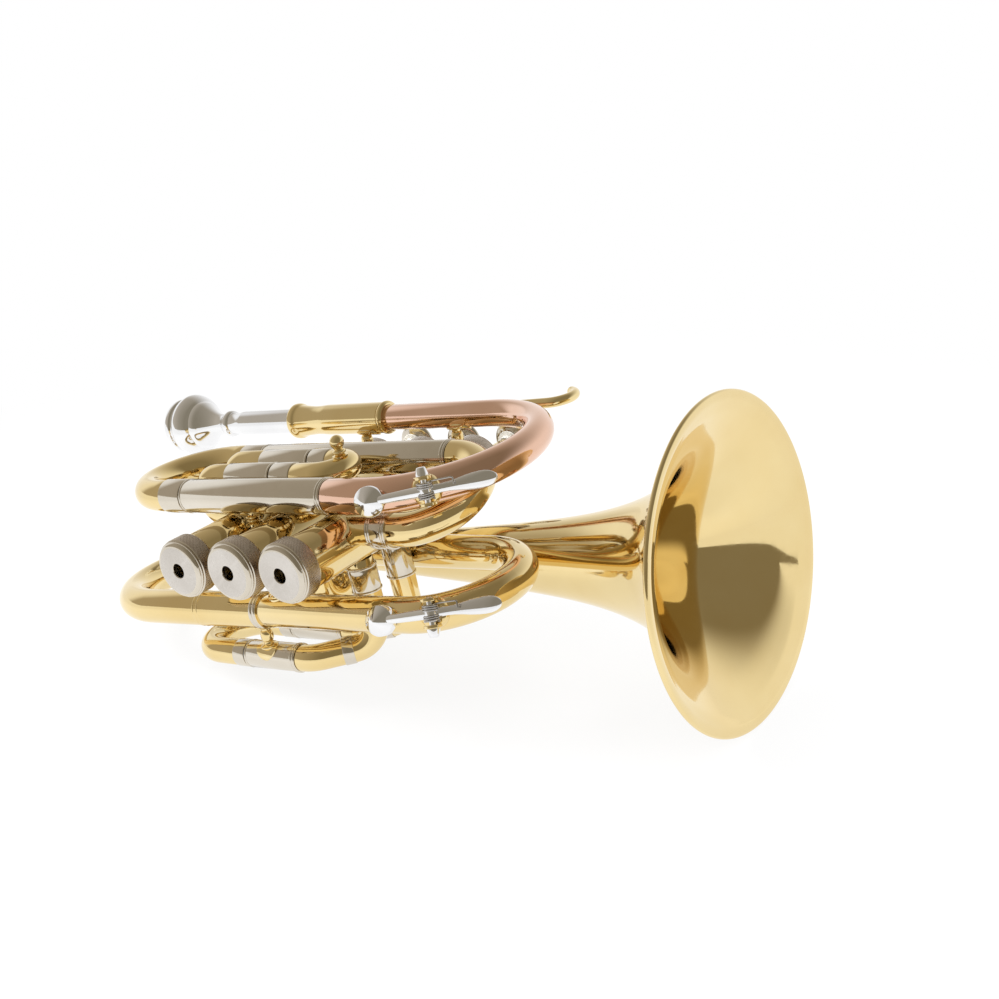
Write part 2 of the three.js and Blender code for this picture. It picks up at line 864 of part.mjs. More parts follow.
// Third valve slide, on the player's left
function makeThirdSlide() {
  const group = new THREE.Group();
  group.name = "third_valve_slide";
  const rows = [
    ["lower", third.lower_port_z, third.lower_z],
    ["upper", third.upper_port_z, third.upper_z],
  ];
  rows.forEach(([name, port_z, z]) => {
    const corners = [
      point(third.port_x, 0, port_z),
      point(third.port_x, third.run_y, port_z),
      point(third.slope_end_x, third.run_y, z),
      point(third.front_x + seat_gap, third.run_y, z),
    ];
    const elbow = runThrough(corners, [third.bend, third.slope_bend], crook_radius);
    const solid = trimmedToCasings(pipe(elbow, crook_radius - tube_wall));
    addPiece(group, `third_elbow_${name}`, yellow_brass, solid, corners[0]);
    const front = point(third.front_x, third.run_y, z);
    const tube = outerTube(front, backward, valve_tube_radius, third.front_x - third.rear_x);
    addPiece(group, `third_outer_${name}`, nickel_silver, tube, front);
  });
  const lower_rear = point(third.rear_x, third.run_y, third.lower_z);
  const straight = third.rear_x - third.ferrule - third.bow_x - seat_gap;
  const crook = slideBody({
    start: lower_rear,
    heading: backward,
    radius: valve_tube_radius,
    bow_radius: crook_radius,
    engagement: third.engagement,
    ferrule: third.ferrule,
    straight,
    back: point(third.rear_x, third.run_y, third.upper_z),
    back_straight: straight,
    back_ferrule: third.ferrule,
  });
  addPiece(group, "third_slide", yellow_brass, crook, lower_rear);
  return group;
}

// Bell-side loop, rear bow and bell
function makeBell() {
  const group = new THREE.Group();
  group.name = "bell_side";
  const front_gap = Math.hypot(loop.upper_y - loop.front_y, loop.upper_z - loop.front_z);
  const rear_gap = Math.hypot(bell.y - loop.rear_y, bell.z - loop.rear_z);
  const front_lower = point(loop.front_x, loop.front_y, loop.front_z);
  const rear_lower = point(loop.rear_x, loop.rear_y, loop.rear_z);
  const share = (loop.front_x - loop.joint_x) / (loop.front_x - loop.rear_x);
  const joint = front_lower.clone().lerp(rear_lower, share);
  const corners = [
    point(loop.start_x, 0, loop.upper_z),
    point(loop.start_x, loop.upper_y, loop.upper_z),
    point(loop.front_x, loop.upper_y, loop.upper_z),
    front_lower,
    joint.clone().addScaledVector(forward, seat_gap),
  ];
  const front_bend = front_gap / 2 - seat_gap;
  const run = runThrough(corners, [loop.elbow_bend, front_bend, front_bend], loop.radius);
  const tube = trimmedToCasings(pipe(run, loop.radius - tube_wall));
  addPiece(group, "bell_loop", yellow_brass, tube, joint);

  const rear_bend = rear_gap / 2 - seat_gap;
  const rear_corners = [
    joint,
    rear_lower,
    point(loop.rear_x, bell.y, bell.z),
    point(bell.stem_x - seat_gap, bell.y, bell.z),
  ];
  const rear = runThrough(rear_corners, [rear_bend, rear_bend], loop.lower_radius);
  addPiece(group, "rear_bow", yellow_brass, pipe(rear, loop.radius - tube_wall), joint);

  const length = bell.rim_x - bell.stem_x;
  const outer = bell_flare_shares.map(([along, radius]) => [radius * bell.rim_radius, along * length]);
  const inner = outer.map(([radius, along]) => [radius - bell.wall, along]).reverse();
  const outline = [
    [bell.stem_radius - bell.wall, 0],
    [bell.stem_radius, 0],
    ...outer,
    [bell.rim_radius - bell.bead, length - 2 * bell.bead],
    [bell.rim_radius, length - bell.bead],
    [bell.rim_radius - bell.bead / 2, length],
    [bell.rim_radius - 2 * bell.bead, length - bell.bead / 2],
    ...inner,
  ];
  const stem = point(bell.stem_x, bell.y, bell.z);
  addPiece(group, "bell", yellow_brass, turned(outline, stem, forward, bell_sides), stem);
  return group;
}

// A post brace between two tubes: pads at both ends and a ball in the middle.
function postBrace(start, axis, length) {
  const { pad_radius, pad_height, post_radius, ball_radius } = brace;
  const outline = [
    [0, 0],
    [pad_radius, 0],
    [pad_radius, pad_height],
    [post_radius, 2 * pad_height],
    [ball_radius, length / 2],
    [post_radius, length - 2 * pad_height],
    [pad_radius, length - pad_height],
    [pad_radius, length],
    [0, length],
  ];
  return turned(outline, start, axis, small_sides);
}

function tubeSpace(start, axis, radius, length) {
  return rod(start, axis, (radius + seat_gap) / Math.cos(Math.PI / turned_sides), length);
}

function makeBraces() {
  const group = new THREE.Group();
  group.name = "braces";
  const bite = brace.pad_height + casing_wall;
  const reach = 2 * brace.pad_radius;
  const around = (x) => x - reach;

  const post_start = point(ball_post_x, -casing_radius / 2, tuning.lower_z);
  const post_length = -tuning.lower_y - tuning.radius - casing_radius / 2 + bite;
  const tuning_space = tubeSpace(
    point(around(ball_post_x), tuning.lower_y, tuning.lower_z), forward, tuning.radius, 2 * reach);
  const ball_post = trimmedToCasings(postBrace(post_start, right, post_length)).subtract(tuning_space);
  addPiece(group, "ball_post", yellow_brass, ball_post, post_start);

  const lead_rows = [
    ["receiver_brace", receiver_brace_x, receiver.body_radius],
    ["leadpipe_brace", leadpipe_brace_x, leadpipe.start_radius],
  ];
  lead_rows.forEach(([name, x, radius]) => {
    const start = point(x, -casing_radius + bite, lead_brace_z);
    const length = -lead_y - casing_radius + bite - radius / 2;
    const space = tubeSpace(point(around(x), lead_y, lead_z), forward, radius, 2 * reach);
    const solid = trimmedToCasings(postBrace(start, right, length)).subtract(space);
    addPiece(group, name, yellow_brass, solid, start);
  });

  const bell_start = point(valve_pitch, casing_radius - bite, bell_brace_z);
  const bell_length = bell.y - casing_radius + bite;
  const bell_radius = bell.rim_radius * bell_flare_shares[1][1];
  const bell_space = tubeSpace(point(around(valve_pitch), bell.y, bell.z), forward, bell_radius, 2 * reach);
  const bell_brace = trimmedToCasings(postBrace(bell_start, left, bell_length)).subtract(bell_space);
  addPiece(group, "bell_brace", yellow_brass, bell_brace, bell_start);

  const slope = (loop.rear_y - loop.front_y) / (loop.front_x - loop.rear_x);
  const drop = (loop.rear_z - loop.front_z) / (loop.front_x - loop.rear_x);
  const loopAxis = (x) =>
    point(x, loop.front_y + slope * (loop.front_x - x), loop.front_z + drop * (loop.front_x - x));
  const loop_heading = loopAxis(reach).sub(loopAxis(0)).normalize();
  const loop_start = point(loop_brace_x, casing_radius - bite, loopAxis(loop_brace_x).z);
  const loop_space = tubeSpace(loopAxis(around(loop_brace_x)), loop_heading, loop.radius, 2 * reach);
  const loop_length = loopAxis(loop_brace_x).y - casing_radius + bite;
  const loop_brace = trimmedToCasings(postBrace(loop_start, left, loop_length)).subtract(loop_space);
  addPiece(group, "loop_brace", yellow_brass, loop_brace, loop_start);

  const third_start = loopAxis(third_brace_x);
  const third_length = third.run_y - third_start.y;
  const near_space = tubeSpace(loopAxis(around(third_brace_x)), loop_heading, loop.lower_radius, 2 * reach);
  const far_space = tubeSpace(
    point(around(third_brace_x), third.run_y, third.lower_z), forward, valve_tube_radius, 2 * reach);
  const third_brace = postBrace(third_start, left, third_length).subtract(near_space).subtract(far_space);
  addPiece(group, "third_brace", yellow_brass, third_brace, third_start);
  return group;
}

// Little-finger hook, soldered to the top leg of the leadpipe
function makeHook() {
  const group = new THREE.Group();
  group.name = "hook";
  const start = point(hook.start_x, lead_y, lead_z + leadpipe.start_radius + hook.rod_radius + seat_gap);
  const heading = point(hook.reach_x - hook.start_x, 0, hook.rise).normalize();
  const run = new Run(start, heading, hook.rod_radius);
  run.ahead(hook.reach_x - hook.start_x).bend(up, hook.curl_turn, hook.curl_radius);
  addPiece(group, "finger_hook", yellow_brass, pipe(run, 0, small_sides), start);
  return group;
}

// Water keys, hinged across the tube, with the cork cup toward the valves. Each sits on the outside of
// its bow, rolled about the tube toward the player's right.
function makeWaterKey(name, centre, bow_radius, tube_radius, { angle, slope, roll, seat }) {
  const key = water_key;
  const group = new THREE.Group();
  group.name = `${name}_water_key`;
  const along = point(Math.cos(angle), 0, Math.sin(angle));
  const lean = new THREE.Quaternion().setFromAxisAngle(along, -roll);
  const outward = point(Math.sin(angle), 0, -Math.cos(angle)).applyQuaternion(lean);
  const across = left.clone().applyQuaternion(lean);
  const chord = along.clone().applyAxisAngle(across, angle - slope);
  const below = across.clone().cross(chord);
  const bow_axis = centre.clone().add(point(Math.sin(angle), 0, -Math.cos(angle)).multiplyScalar(bow_radius));
  const pivot = bow_axis.clone().addScaledVector(outward, tube_radius + key.lift);
  const beside = (from) => pivot.clone().addScaledVector(across, from);

  const plate = (edge, heading) => {
    const mirrored = edge.map(([reach, width]) => [reach, -width]).reverse();
    const outline = [...edge, ...mirrored].map(([reach, width]) => new THREE.Vector2(reach, width));
    const geometry = new THREE.ExtrudeGeometry(new THREE.Shape(outline), {
      depth: key.bar_height,
      bevelEnabled: false,
    });
    geometry.translate(0, 0, -key.bar_height / 2);
    geometry.applyMatrix4(new THREE.Matrix4().makeBasis(heading, across, heading.clone().cross(across)));
    geometry.translate(pivot.x, pivot.y, pivot.z);
    return solidOf(geometry);
  };
  const half_bar = key.bar_width / 2;
  const half_spoon = key.spoon_width / 2;
  const tip = key.tip_reach;
  const bar = plate([[-key.cup_reach, half_bar], [0, half_bar]], chord);
  const spoon_edge = [
    [0, half_bar],
    [tip / 3, half_bar],
    [(2 * tip) / 3, half_spoon],
    [(5 * tip) / 6, half_spoon],
    [tip, half_bar / 2],
  ];
  const spoon = plate(spoon_edge, chord.clone().applyAxisAngle(across, -spoon_bend));

  const barrel = rod(beside(-key.barrel_width / 2), across, key.barrel_radius, key.barrel_width, small_sides);
  const bore_radius = key.pin_radius + seat_gap;
  const pin_bore = rod(beside(-key.spoon_width), across, bore_radius, 2 * key.spoon_width, small_sides);
  const cup_base = -(seat - key.cork_height);
  const cup_outline = [
    [0, cup_base],
    [key.cup_radius, cup_base],
    [key.cup_radius, 0],
    [key.cup_tip, key.cup_height],
    [0, key.cup_height],
  ];
  const cup_centre = pivot.clone().addScaledVector(chord, -key.cup_reach);
  const cup = turned(cup_outline, cup_centre, below, tube_sides);
  const lever = bar.add(spoon).add(barrel).add(cup).subtract(pin_bore);
  addPiece(group, `${name}_key_lever`, silver_plate, lever, pivot);

  // Saddle: a foot soldered to the tube, two cheeks and the pivot screw between them.
  const half_saddle = key.saddle_width / 2;
  const foot_height = tube_radius + key.lift - key.barrel_radius - seat_gap;
  const foot = rod(bow_axis, outward, key.saddle_radius, foot_height, small_sides);
  const cheek_radius = key.barrel_radius + key.cheek;
  const cheeks = [-half_saddle, half_saddle - key.cheek].map((from) =>
    rod(beside(from), across, cheek_radius, key.cheek, small_sides));
  const pin = rod(beside(-half_saddle), across, key.pin_radius, key.saddle_width, small_sides);
  const space_start = bow_axis.clone().addScaledVector(along, -2 * key.saddle_radius);
  const tube_space = tubeSpace(space_start, along, tube_radius, 4 * key.saddle_radius);
  const saddle = foot.add(cheeks[0]).add(cheeks[1]).add(pin).subtract(tube_space);
  addPiece(group, `${name}_key_saddle`, yellow_brass, saddle, bow_axis);
  return group;
}

function makeWaterKeys() {
  const keys = new THREE.Group();
  keys.name = "water_keys";
  const lead_bow = (lead_z - tuning.lower_z) / 2;
  const lead_centre = point(leadpipe.bow_x, tuning.lower_y, tuning.lower_z + lead_bow);
  keys.add(makeWaterKey("upper", lead_centre, lead_bow, leadpipe.end_radius, upper_key));
  const loop_bow = (loop.upper_z - loop.front_z) / 2;
  const loop_centre = point(loop.front_x - loop_bow, loop.front_y, loop.front_z + loop_bow);
  keys.add(makeWaterKey("lower", loop_centre, loop_bow, loop.radius, lower_key));
  return keys;
}

// The instrument in its own frame, then laid on its left side with the bell to +X.
const instrument = new THREE.Group();
instrument.name = "instrument";
instrument.add(makeValves());
instrument.add(makeLead());
instrument.add(makeTuning());
instrument.add(makeFirstSlide());
instrument.add(makeSecondSlide());
instrument.add(makeThirdSlide());
instrument.add(makeBell());
instrument.add(makeBraces());
instrument.add(makeHook());
instrument.add(makeWaterKeys());
instrument.rotation.x = -Math.PI / 2;

const lying = new THREE.Group();
lying.name = "lying";
lying.rotation.y = -lying_tilt;
lying.add(instrument);

const pocket_trumpet = new THREE.Group();
pocket_trumpet.name = "pocket_trumpet";
pocket_trumpet.add(lying);
pocket_trumpet.updateMatrixWorld(true);
const bounds = new THREE.Box3().setFromObject(pocket_trumpet, true);
const middle = bounds.getCenter(point());
pocket_trumpet.position.set(-middle.x, -middle.y, -bounds.min.z);
pocket_trumpet.updateMatrixWorld(true);

export default pocket_trumpet;
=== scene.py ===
"""Dresses a small three-valve trumpet that lies on its left side.

Sizes are in millimetres in the instrument's own frame: the origin is the face of the middle bottom
cap, +X points toward the bell, +Y to the player's left and +Z along the valves to the finger buttons.
"""

import logging
import math
from dataclasses import dataclass
from enum import Enum
from typing import Sequence

import bpy
from mathutils import Matrix, Quaternion, Vector


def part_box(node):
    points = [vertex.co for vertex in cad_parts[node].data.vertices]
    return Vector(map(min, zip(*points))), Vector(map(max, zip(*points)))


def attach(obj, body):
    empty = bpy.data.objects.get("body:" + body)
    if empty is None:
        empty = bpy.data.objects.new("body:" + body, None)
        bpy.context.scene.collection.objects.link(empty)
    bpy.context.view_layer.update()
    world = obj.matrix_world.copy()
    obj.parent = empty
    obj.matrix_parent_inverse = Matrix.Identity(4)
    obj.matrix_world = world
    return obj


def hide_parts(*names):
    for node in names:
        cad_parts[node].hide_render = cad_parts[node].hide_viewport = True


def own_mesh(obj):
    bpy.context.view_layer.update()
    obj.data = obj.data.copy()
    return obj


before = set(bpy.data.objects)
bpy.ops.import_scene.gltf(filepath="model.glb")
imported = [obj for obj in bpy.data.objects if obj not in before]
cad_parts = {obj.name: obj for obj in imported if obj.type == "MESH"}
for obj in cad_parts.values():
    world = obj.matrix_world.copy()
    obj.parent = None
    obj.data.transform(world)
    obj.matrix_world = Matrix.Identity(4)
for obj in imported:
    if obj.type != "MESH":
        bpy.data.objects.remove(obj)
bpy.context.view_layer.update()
log = logging.getLogger("trumpet")

FORWARD = Vector((1, 0, 0))
BACKWARD = Vector((-1, 0, 0))
LEFT = Vector((0, 1, 0))
RIGHT = Vector((0, -1, 0))
UP = Vector((0, 0, 1))
SEAT = 0.3
SLIP = 0.45
WALL = 0.55
BEND_STEP = math.radians(5)
METRES = 0.001
PER_METRE = 1000
LYING_TILT = math.radians(9.4)
WELD = 0.0005
TURNED_EDGE = 32
TUBE_EDGE = 50
TUCK = 0.6


class Slot(Enum):
    """Finishes of the record."""

    YELLOW = "yellow_brass"
    ROSE = "rose_brass"
    NICKEL = "nickel_silver"
    SILVER = "silver_plate"
    STEEL = "spring_steel"
    PEARL = "pearl"


class Body(Enum):
    """Bodies that pieces ride on."""

    FRAME = "frame"
    MOUTHPIECE = "mouthpiece_body"
    VALVE_1 = "valve_1"
    VALVE_2 = "valve_2"
    VALVE_3 = "valve_3"
    TUNING = "main_tuning_slide"
    FIRST = "first_valve_slide"
    SECOND = "second_valve_slide"
    THIRD = "third_valve_slide"
    UPPER_KEY = "upper_water_key"
    LOWER_KEY = "lower_water_key"


Outline = Sequence[tuple[float, float]]


@dataclass(frozen=True)
class Socket:
    """One input or output of a shared node group."""

    name: str
    kind: str = "NodeSocketFloat"
    value: float = 0.0


class Nodes:
    """A node tree with short calls for adding and linking nodes."""

    def __init__(self, tree: bpy.types.NodeTree) -> None:
        """Keeps the tree.

        Args:
            tree: The material's or the group's node tree.
        """
        self.tree = tree

    def add(self, kind: str, inputs: dict | None = None, **settings: object) -> bpy.types.Node:
        """Adds a node.

        Args:
            kind: The node's type name.
            inputs: Values or sockets by input name or index.
            **settings: Attributes to set on the node.

        Returns:
            The node.
        """
        node = self.tree.nodes.new(kind)
        for key, value in settings.items():
            setattr(node, key, value)
        for key, value in (inputs or {}).items():
            socket = node.inputs[key]
            if isinstance(value, bpy.types.NodeSocket):
                self.tree.links.new(value, socket)
            else:
                socket.default_value = value
        return node

    def math(self, operation: str, *values: object) -> bpy.types.NodeSocket:
        """Adds a Math node and returns its result.

        Args:
            operation: The node's operation.
            *values: Numbers or sockets.

        Returns:
            The node's output socket.
        """
        return self.add("ShaderNodeMath", dict(enumerate(values)), operation=operation).outputs[0]

    def mix(self, share: object, first: object, second: object) -> bpy.types.NodeSocket:
        """Adds a colour mix and returns its result.

        Args:
            share: Share of the second colour, as a number or a socket.
            first: The first colour, as three numbers or a socket.
            second: The second colour.

        Returns:
            The node's output socket.
        """
        ends = [(*colour, 1) if isinstance(colour, tuple) else colour for colour in (first, second)]
        return self.add("ShaderNodeMix", {0: share, 6: ends[0], 7: ends[1]}, data_type="RGBA").outputs[2]

    def ranged(
        self, value: object, start: object, stop: object, low: float = 0.0, high: float = 1.0,
        smooth: bool = False,
    ) -> bpy.types.NodeSocket:
        """Maps a value from one range onto another and returns the result.

        Args:
            value: The value, as a number or a socket.
            start: Start of its range.
            stop: End of its range.
            low: Result at the start.
            high: Result at the end.
            smooth: Whether the result eases in and out.

        Returns:
            The node's output socket.
        """
        limits = {"Value": value, "From Min": start, "From Max": stop, "To Min": low, "To Max": high}
        way = "SMOOTHSTEP" if smooth else "LINEAR"
        return self.add("ShaderNodeMapRange", limits, interpolation_type=way).outputs["Result"]

    def noise(self, vector: object, scale: object, detail: float) -> bpy.types.NodeSocket:
        """Adds a noise texture and returns its value.

        Args:
            vector: Where it is read.
            scale: Its scale.
            detail: Its detail.

        Returns:
            The node's output socket.
        """
        return self.add("ShaderNodeTexNoise", {"Vector": vector, "Scale": scale, "Detail": detail}).outputs[0]

    def aimed(self, way: object, aim: Vector) -> bpy.types.NodeSocket:
        """Share of a direction that points along another one.

        Args:
            way: The direction's socket.
            aim: The other direction.

        Returns:
            The socket of the dot product.
        """
        product = self.add("ShaderNodeVectorMath", {0: way, 1: aim}, operation="DOT_PRODUCT")
        return product.outputs["Value"]


def shared_group(name: str, inputs: Sequence[Socket], outputs: Sequence[Socket]) -> tuple:
    """Makes an empty node group.

    Args:
        name: The group's name.
        inputs: Its inputs.
        outputs: Its outputs.

    Returns:
        The group, its Nodes, its input node and its output node.
    """
    tree = bpy.data.node_groups.new(name, "ShaderNodeTree")
    for sockets, direction in ((inputs, "INPUT"), (outputs, "OUTPUT")):
        for socket in sockets:
            made = tree.interface.new_socket(name=socket.name, in_out=direction, socket_type=socket.kind)
            if direction == "INPUT" and socket.kind == "NodeSocketFloat":
                made.default_value = socket.value
    nodes = Nodes(tree)
    return tree, nodes, nodes.add("NodeGroupInput"), nodes.add("NodeGroupOutput")


def patina_group() -> bpy.types.NodeTree:
    """Cloudy tone under the lacquer, as a mask from 0 to 1.

    Returns:
        The node group.
    """
    tree, nodes, given, out = shared_group(
        "patina",
        [Socket("Vector", "NodeSocketVector"), Socket("Scale", value=30.0)],
        [Socket("Mask"), Socket("Fine")],
    )
    cloud = nodes.noise(given.outputs["Vector"], given.outputs["Scale"], 4.0)
    fine = nodes.noise(given.outputs["Vector"], nodes.math("MULTIPLY", given.outputs["Scale"], 18.0), 3.0)
    tree.links.new(nodes.ranged(cloud, 0.35, 0.68), out.inputs["Mask"])
    tree.links.new(fine, out.inputs["Fine"])
    return tree


def edge_group() -> bpy.types.NodeTree:
    """Mask of the edges that hands and cloths rub.

    Returns:
        The node group.
    """
    tree, nodes, given, out = shared_group(
        "rubbed_edges",
        [Socket("Vector", "NodeSocketVector"), Socket("Low", value=0.52), Socket("High", value=0.62)],
        [Socket("Mask")],
    )
    bend = nodes.add("ShaderNodeNewGeometry").outputs["Pointiness"]
    edge = nodes.ranged(bend, given.outputs["Low"], given.outputs["High"])
    broken = nodes.noise(given.outputs["Vector"], 260.0, 3.0)
    tree.links.new(nodes.math("MULTIPLY", edge, broken), out.inputs["Mask"])
    return tree


def hairline_group() -> bpy.types.NodeTree:
    """Fine polishing lines as a height.

    Returns:
        The node group.
    """
    tree, nodes, given, out = shared_group(
        "hairlines",
        [Socket("Vector", "NodeSocketVector"), Socket("Scale", value=900.0)],
        [Socket("Height")],
    )
    stretched = nodes.add(
        "ShaderNodeMapping",
        {"Vector": given.outputs["Vector"], "Scale": (0.08, 1.0, 1.0)},
    )
    lines = nodes.noise(stretched.outputs[0], given.outputs["Scale"], 2.0)
    tree.links.new(lines, out.inputs["Height"])
    return tree


def knurl_group() -> bpy.types.NodeTree:
    """Diamond knurl round the Y axis through the given centre, as a height and a groove mask.

    Returns:
        The node group.
    """
    tree, nodes, given, out = shared_group(
        "diamond_knurl",
        [Socket("Vector", "NodeSocketVector"), Socket("Ridges", value=48.0), Socket("Rise", value=4600.0)],
        [Socket("Height"), Socket("Groove")],
    )
    split = nodes.add("ShaderNodeSeparateXYZ", {"Vector": given.outputs["Vector"]})
    turn = nodes.math("ARCTAN2", split.outputs["Z"], split.outputs["X"])
    around = nodes.math("MULTIPLY", turn, given.outputs["Ridges"])
    along = nodes.math("MULTIPLY", split.outputs["Y"], given.outputs["Rise"])
    one = nodes.math("SINE", nodes.math("ADD", around, along))
    other = nodes.math("SINE", nodes.math("SUBTRACT", around, along))
    height = nodes.math("MULTIPLY", nodes.math("ABSOLUTE", one), nodes.math("ABSOLUTE", other))
    tree.links.new(height, out.inputs["Height"])
    # The groove mask marks where the painted shade goes in the knurl's grooves.
    tree.links.new(nodes.ranged(height, 0.45, 0.05), out.inputs["Groove"])
    return tree


GROUPS: dict[str, bpy.types.NodeTree] = {}


def new_material(name: str) -> tuple[bpy.types.Material, Nodes, bpy.types.Node]:
    """Makes a material.

    Args:
        name: Its name.

    Returns:
        The material, its Nodes and its shader node.
    """
    material = bpy.data.materials.new(name)
    material.use_nodes = True
    return material, Nodes(material.node_tree), material.node_tree.nodes["Principled BSDF"]


@dataclass(frozen=True)
class MetalFinish:
    """A polished or plated metal.

    Attributes:
        name: The material's name.
        slot: The record's slot; not used.
        tone: Colour of the clean metal.
        deep: Colour where the lacquer or plate has darkened.
        worn: Colour of rubbed edges.
        rough: Least and greatest roughness.
        coat: Weight of the lacquer.
        grain: Strength of the polishing lines.
        cloud: Scale of the cloudy tone.
        knurled: Whether the surface is knurled.
        centre: Point on the knurl's axis, in metres.
        grain_depth: Depth of the polishing lines in metres.
        knurl_depth: Depth of the knurl in metres.
        knurl_strength: Strength of the knurl's bump.
        groove_shade_tone: Painted shade in the knurl's grooves: a dark colour laid there in place of the
            shade that falls in them.
        groove_shade_share: How much of that painted shade shows.
    """

    name: str
    slot: Slot
    tone: tuple[float, float, float]
    deep: tuple[float, float, float]
    worn: tuple[float, float, float]
    rough: tuple[float, float] = (0.09, 0.16)
    coat: float = 0.0
    grain: float = 0.02
    cloud: float = 26.0
    knurled: bool = False
    centre: tuple[float, float, float] = (0.0, 0.0, 0.0)
    grain_depth: float = 0.00002
    knurl_depth: float = 0.00018
    knurl_strength: float = 0.25
    groove_shade_tone: tuple[float, float, float] = (0.10, 0.075, 0.055)
    groove_shade_share: float = 0.75

    def make(self) -> bpy.types.Material:
        """Makes the material once, and returns it.

        Returns:
            The material.
        """
        known = bpy.data.materials.get(self.name)
        if known:
            return known
        material, nodes, shader = new_material(self.name)
        place = nodes.add("ShaderNodeTexCoord").outputs["Object"]
        patina = nodes.add("ShaderNodeGroup", node_tree=GROUPS["patina"])
        edges = nodes.add("ShaderNodeGroup", node_tree=GROUPS["edges"])
        lines = nodes.add("ShaderNodeGroup", node_tree=GROUPS["hairlines"])
        link = material.node_tree.links.new
        for group in (patina, edges, lines):
            link(place, group.inputs["Vector"])
        patina.inputs["Scale"].default_value = self.cloud
        tone = nodes.mix(patina.outputs["Mask"], self.tone, self.deep)
        colour = nodes.mix(edges.outputs["Mask"], tone, self.worn)
        height, depth, strength = lines.outputs["Height"], self.grain_depth, self.grain
        rough = nodes.ranged(patina.outputs["Fine"], 0.3, 0.7, *self.rough)
        if self.knurled:
            centred = nodes.add(
                "ShaderNodeMapping",
                {"Vector": place, "Location": tuple(-value for value in self.centre)},
            )
            knurl = nodes.add("ShaderNodeGroup", {"Vector": centred.outputs[0]}, node_tree=GROUPS["knurl"])
            # Painted shade: the knurl's grooves are darkened toward a near-black brown, in place of the shade
            # that falls in them.
            shade = nodes.math("MULTIPLY", knurl.outputs["Groove"], self.groove_shade_share)
            colour = nodes.mix(shade, colour, self.groove_shade_tone)
            height, depth, strength = knurl.outputs["Height"], self.knurl_depth, self.knurl_strength
        bump = nodes.add("ShaderNodeBump", {"Height": height, "Strength": strength, "Distance": depth})
        link(colour, shader.inputs["Base Color"])
        link(rough, shader.inputs["Roughness"])
        link(bump.outputs[0], shader.inputs["Normal"])
        shader.inputs["Metallic"].default_value = 1.0
        shader.inputs["Coat Weight"].default_value = self.coat
        shader.inputs["Coat Roughness"].default_value = 0.04
        return material


@dataclass(frozen=True)
class PlainFinish:
    """A finish that is not metal, such as pearl, cork or felt.

    Attributes:
        name: The material's name.
        slot: The record's slot; not used.
        tone: Its colour.
        deep: Its colour in the darker clouds.
        rough: Least and greatest roughness.
        cloud: Scale of the clouds.
        grain: Strength of the fine grain.
        grain_depth: Depth of that grain in metres.
    """

    name: str
    slot: Slot
    tone: tuple[float, float, float]
    deep: tuple[float, float, float]
    rough: tuple[float, float]
    cloud: float
    grain: float
    grain_depth: float = 0.0001

    def make(self) -> bpy.types.Material:
        """Makes the material once, and returns it.

        Returns:
            The material.
        """
        known = bpy.data.materials.get(self.name)
        if known:
            return known
        material, nodes, shader = new_material(self.name)
        place = nodes.add("ShaderNodeTexCoord").outputs["Object"]
        patina = nodes.add("ShaderNodeGroup", {"Vector": place}, node_tree=GROUPS["patina"])
        patina.inputs["Scale"].default_value = self.cloud
        fine = patina.outputs["Fine"]
        bump = nodes.add(
            "ShaderNodeBump", {"Height": fine, "Strength": self.grain, "Distance": self.grain_depth})
        link = material.node_tree.links.new
        link(nodes.mix(patina.outputs["Mask"], self.tone, self.deep), shader.inputs["Base Color"])
        link(nodes.ranged(fine, 0.0, 1.0, *self.rough), shader.inputs["Roughness"])
        link(bump.outputs[0], shader.inputs["Normal"])
        return material


YELLOW = MetalFinish(
    "lacquered_yellow_brass", Slot.YELLOW, (0.86, 0.69, 0.36), (0.81, 0.62, 0.29), (0.92, 0.79, 0.50),
    rough=(0.045, 0.09), coat=0.15,
)
ROSE = MetalFinish(
    "lacquered_rose_brass", Slot.ROSE, (0.85, 0.57, 0.43), (0.78, 0.49, 0.35), (0.93, 0.71, 0.59),
    rough=(0.055, 0.10), coat=0.15,
)
NICKEL = MetalFinish(
    "polished_nickel_silver", Slot.NICKEL, (0.72, 0.66, 0.56), (0.64, 0.58, 0.48), (0.85, 0.81, 0.73),
    rough=(0.07, 0.13), coat=0.08, grain=0.03,
)
SATIN = MetalFinish(
    "satin_nickel_face", Slot.NICKEL, (0.70, 0.66, 0.61), (0.60, 0.56, 0.51), (0.70, 0.66, 0.61),
    rough=(0.26, 0.40), grain=0.12, cloud=70.0,
)
SILVER = MetalFinish(
    "bright_silver_plate", Slot.SILVER, (0.90, 0.90, 0.90), (0.82, 0.82, 0.83), (0.97, 0.97, 0.97),
    rough=(0.05, 0.11),
)
STEEL = MetalFinish(
    "spring_wire", Slot.STEEL, (0.52, 0.50, 0.48), (0.42, 0.40, 0.38), (0.66, 0.64, 0.62),
    rough=(0.2, 0.32),
)
PEARL = PlainFinish(
    "finger_pearl", Slot.PEARL, (0.90, 0.88, 0.83), (0.78, 0.80, 0.80), (0.12, 0.22), 160.0, 0.05,
)
CORK = PlainFinish(
    "pressed_cork", Slot.YELLOW, (0.52, 0.34, 0.18), (0.30, 0.18, 0.09), (0.7, 0.9), 500.0, 0.6,
)
FELT = PlainFinish(
    "valve_felt", Slot.PEARL, (0.80, 0.78, 0.72), (0.66, 0.64, 0.58), (0.85, 0.98), 700.0, 0.8,
)


@dataclass
class Station:
    """A point on a run, with the tube's direction and radius there."""

    spot: Vector
    heading: Vector
    radius: float


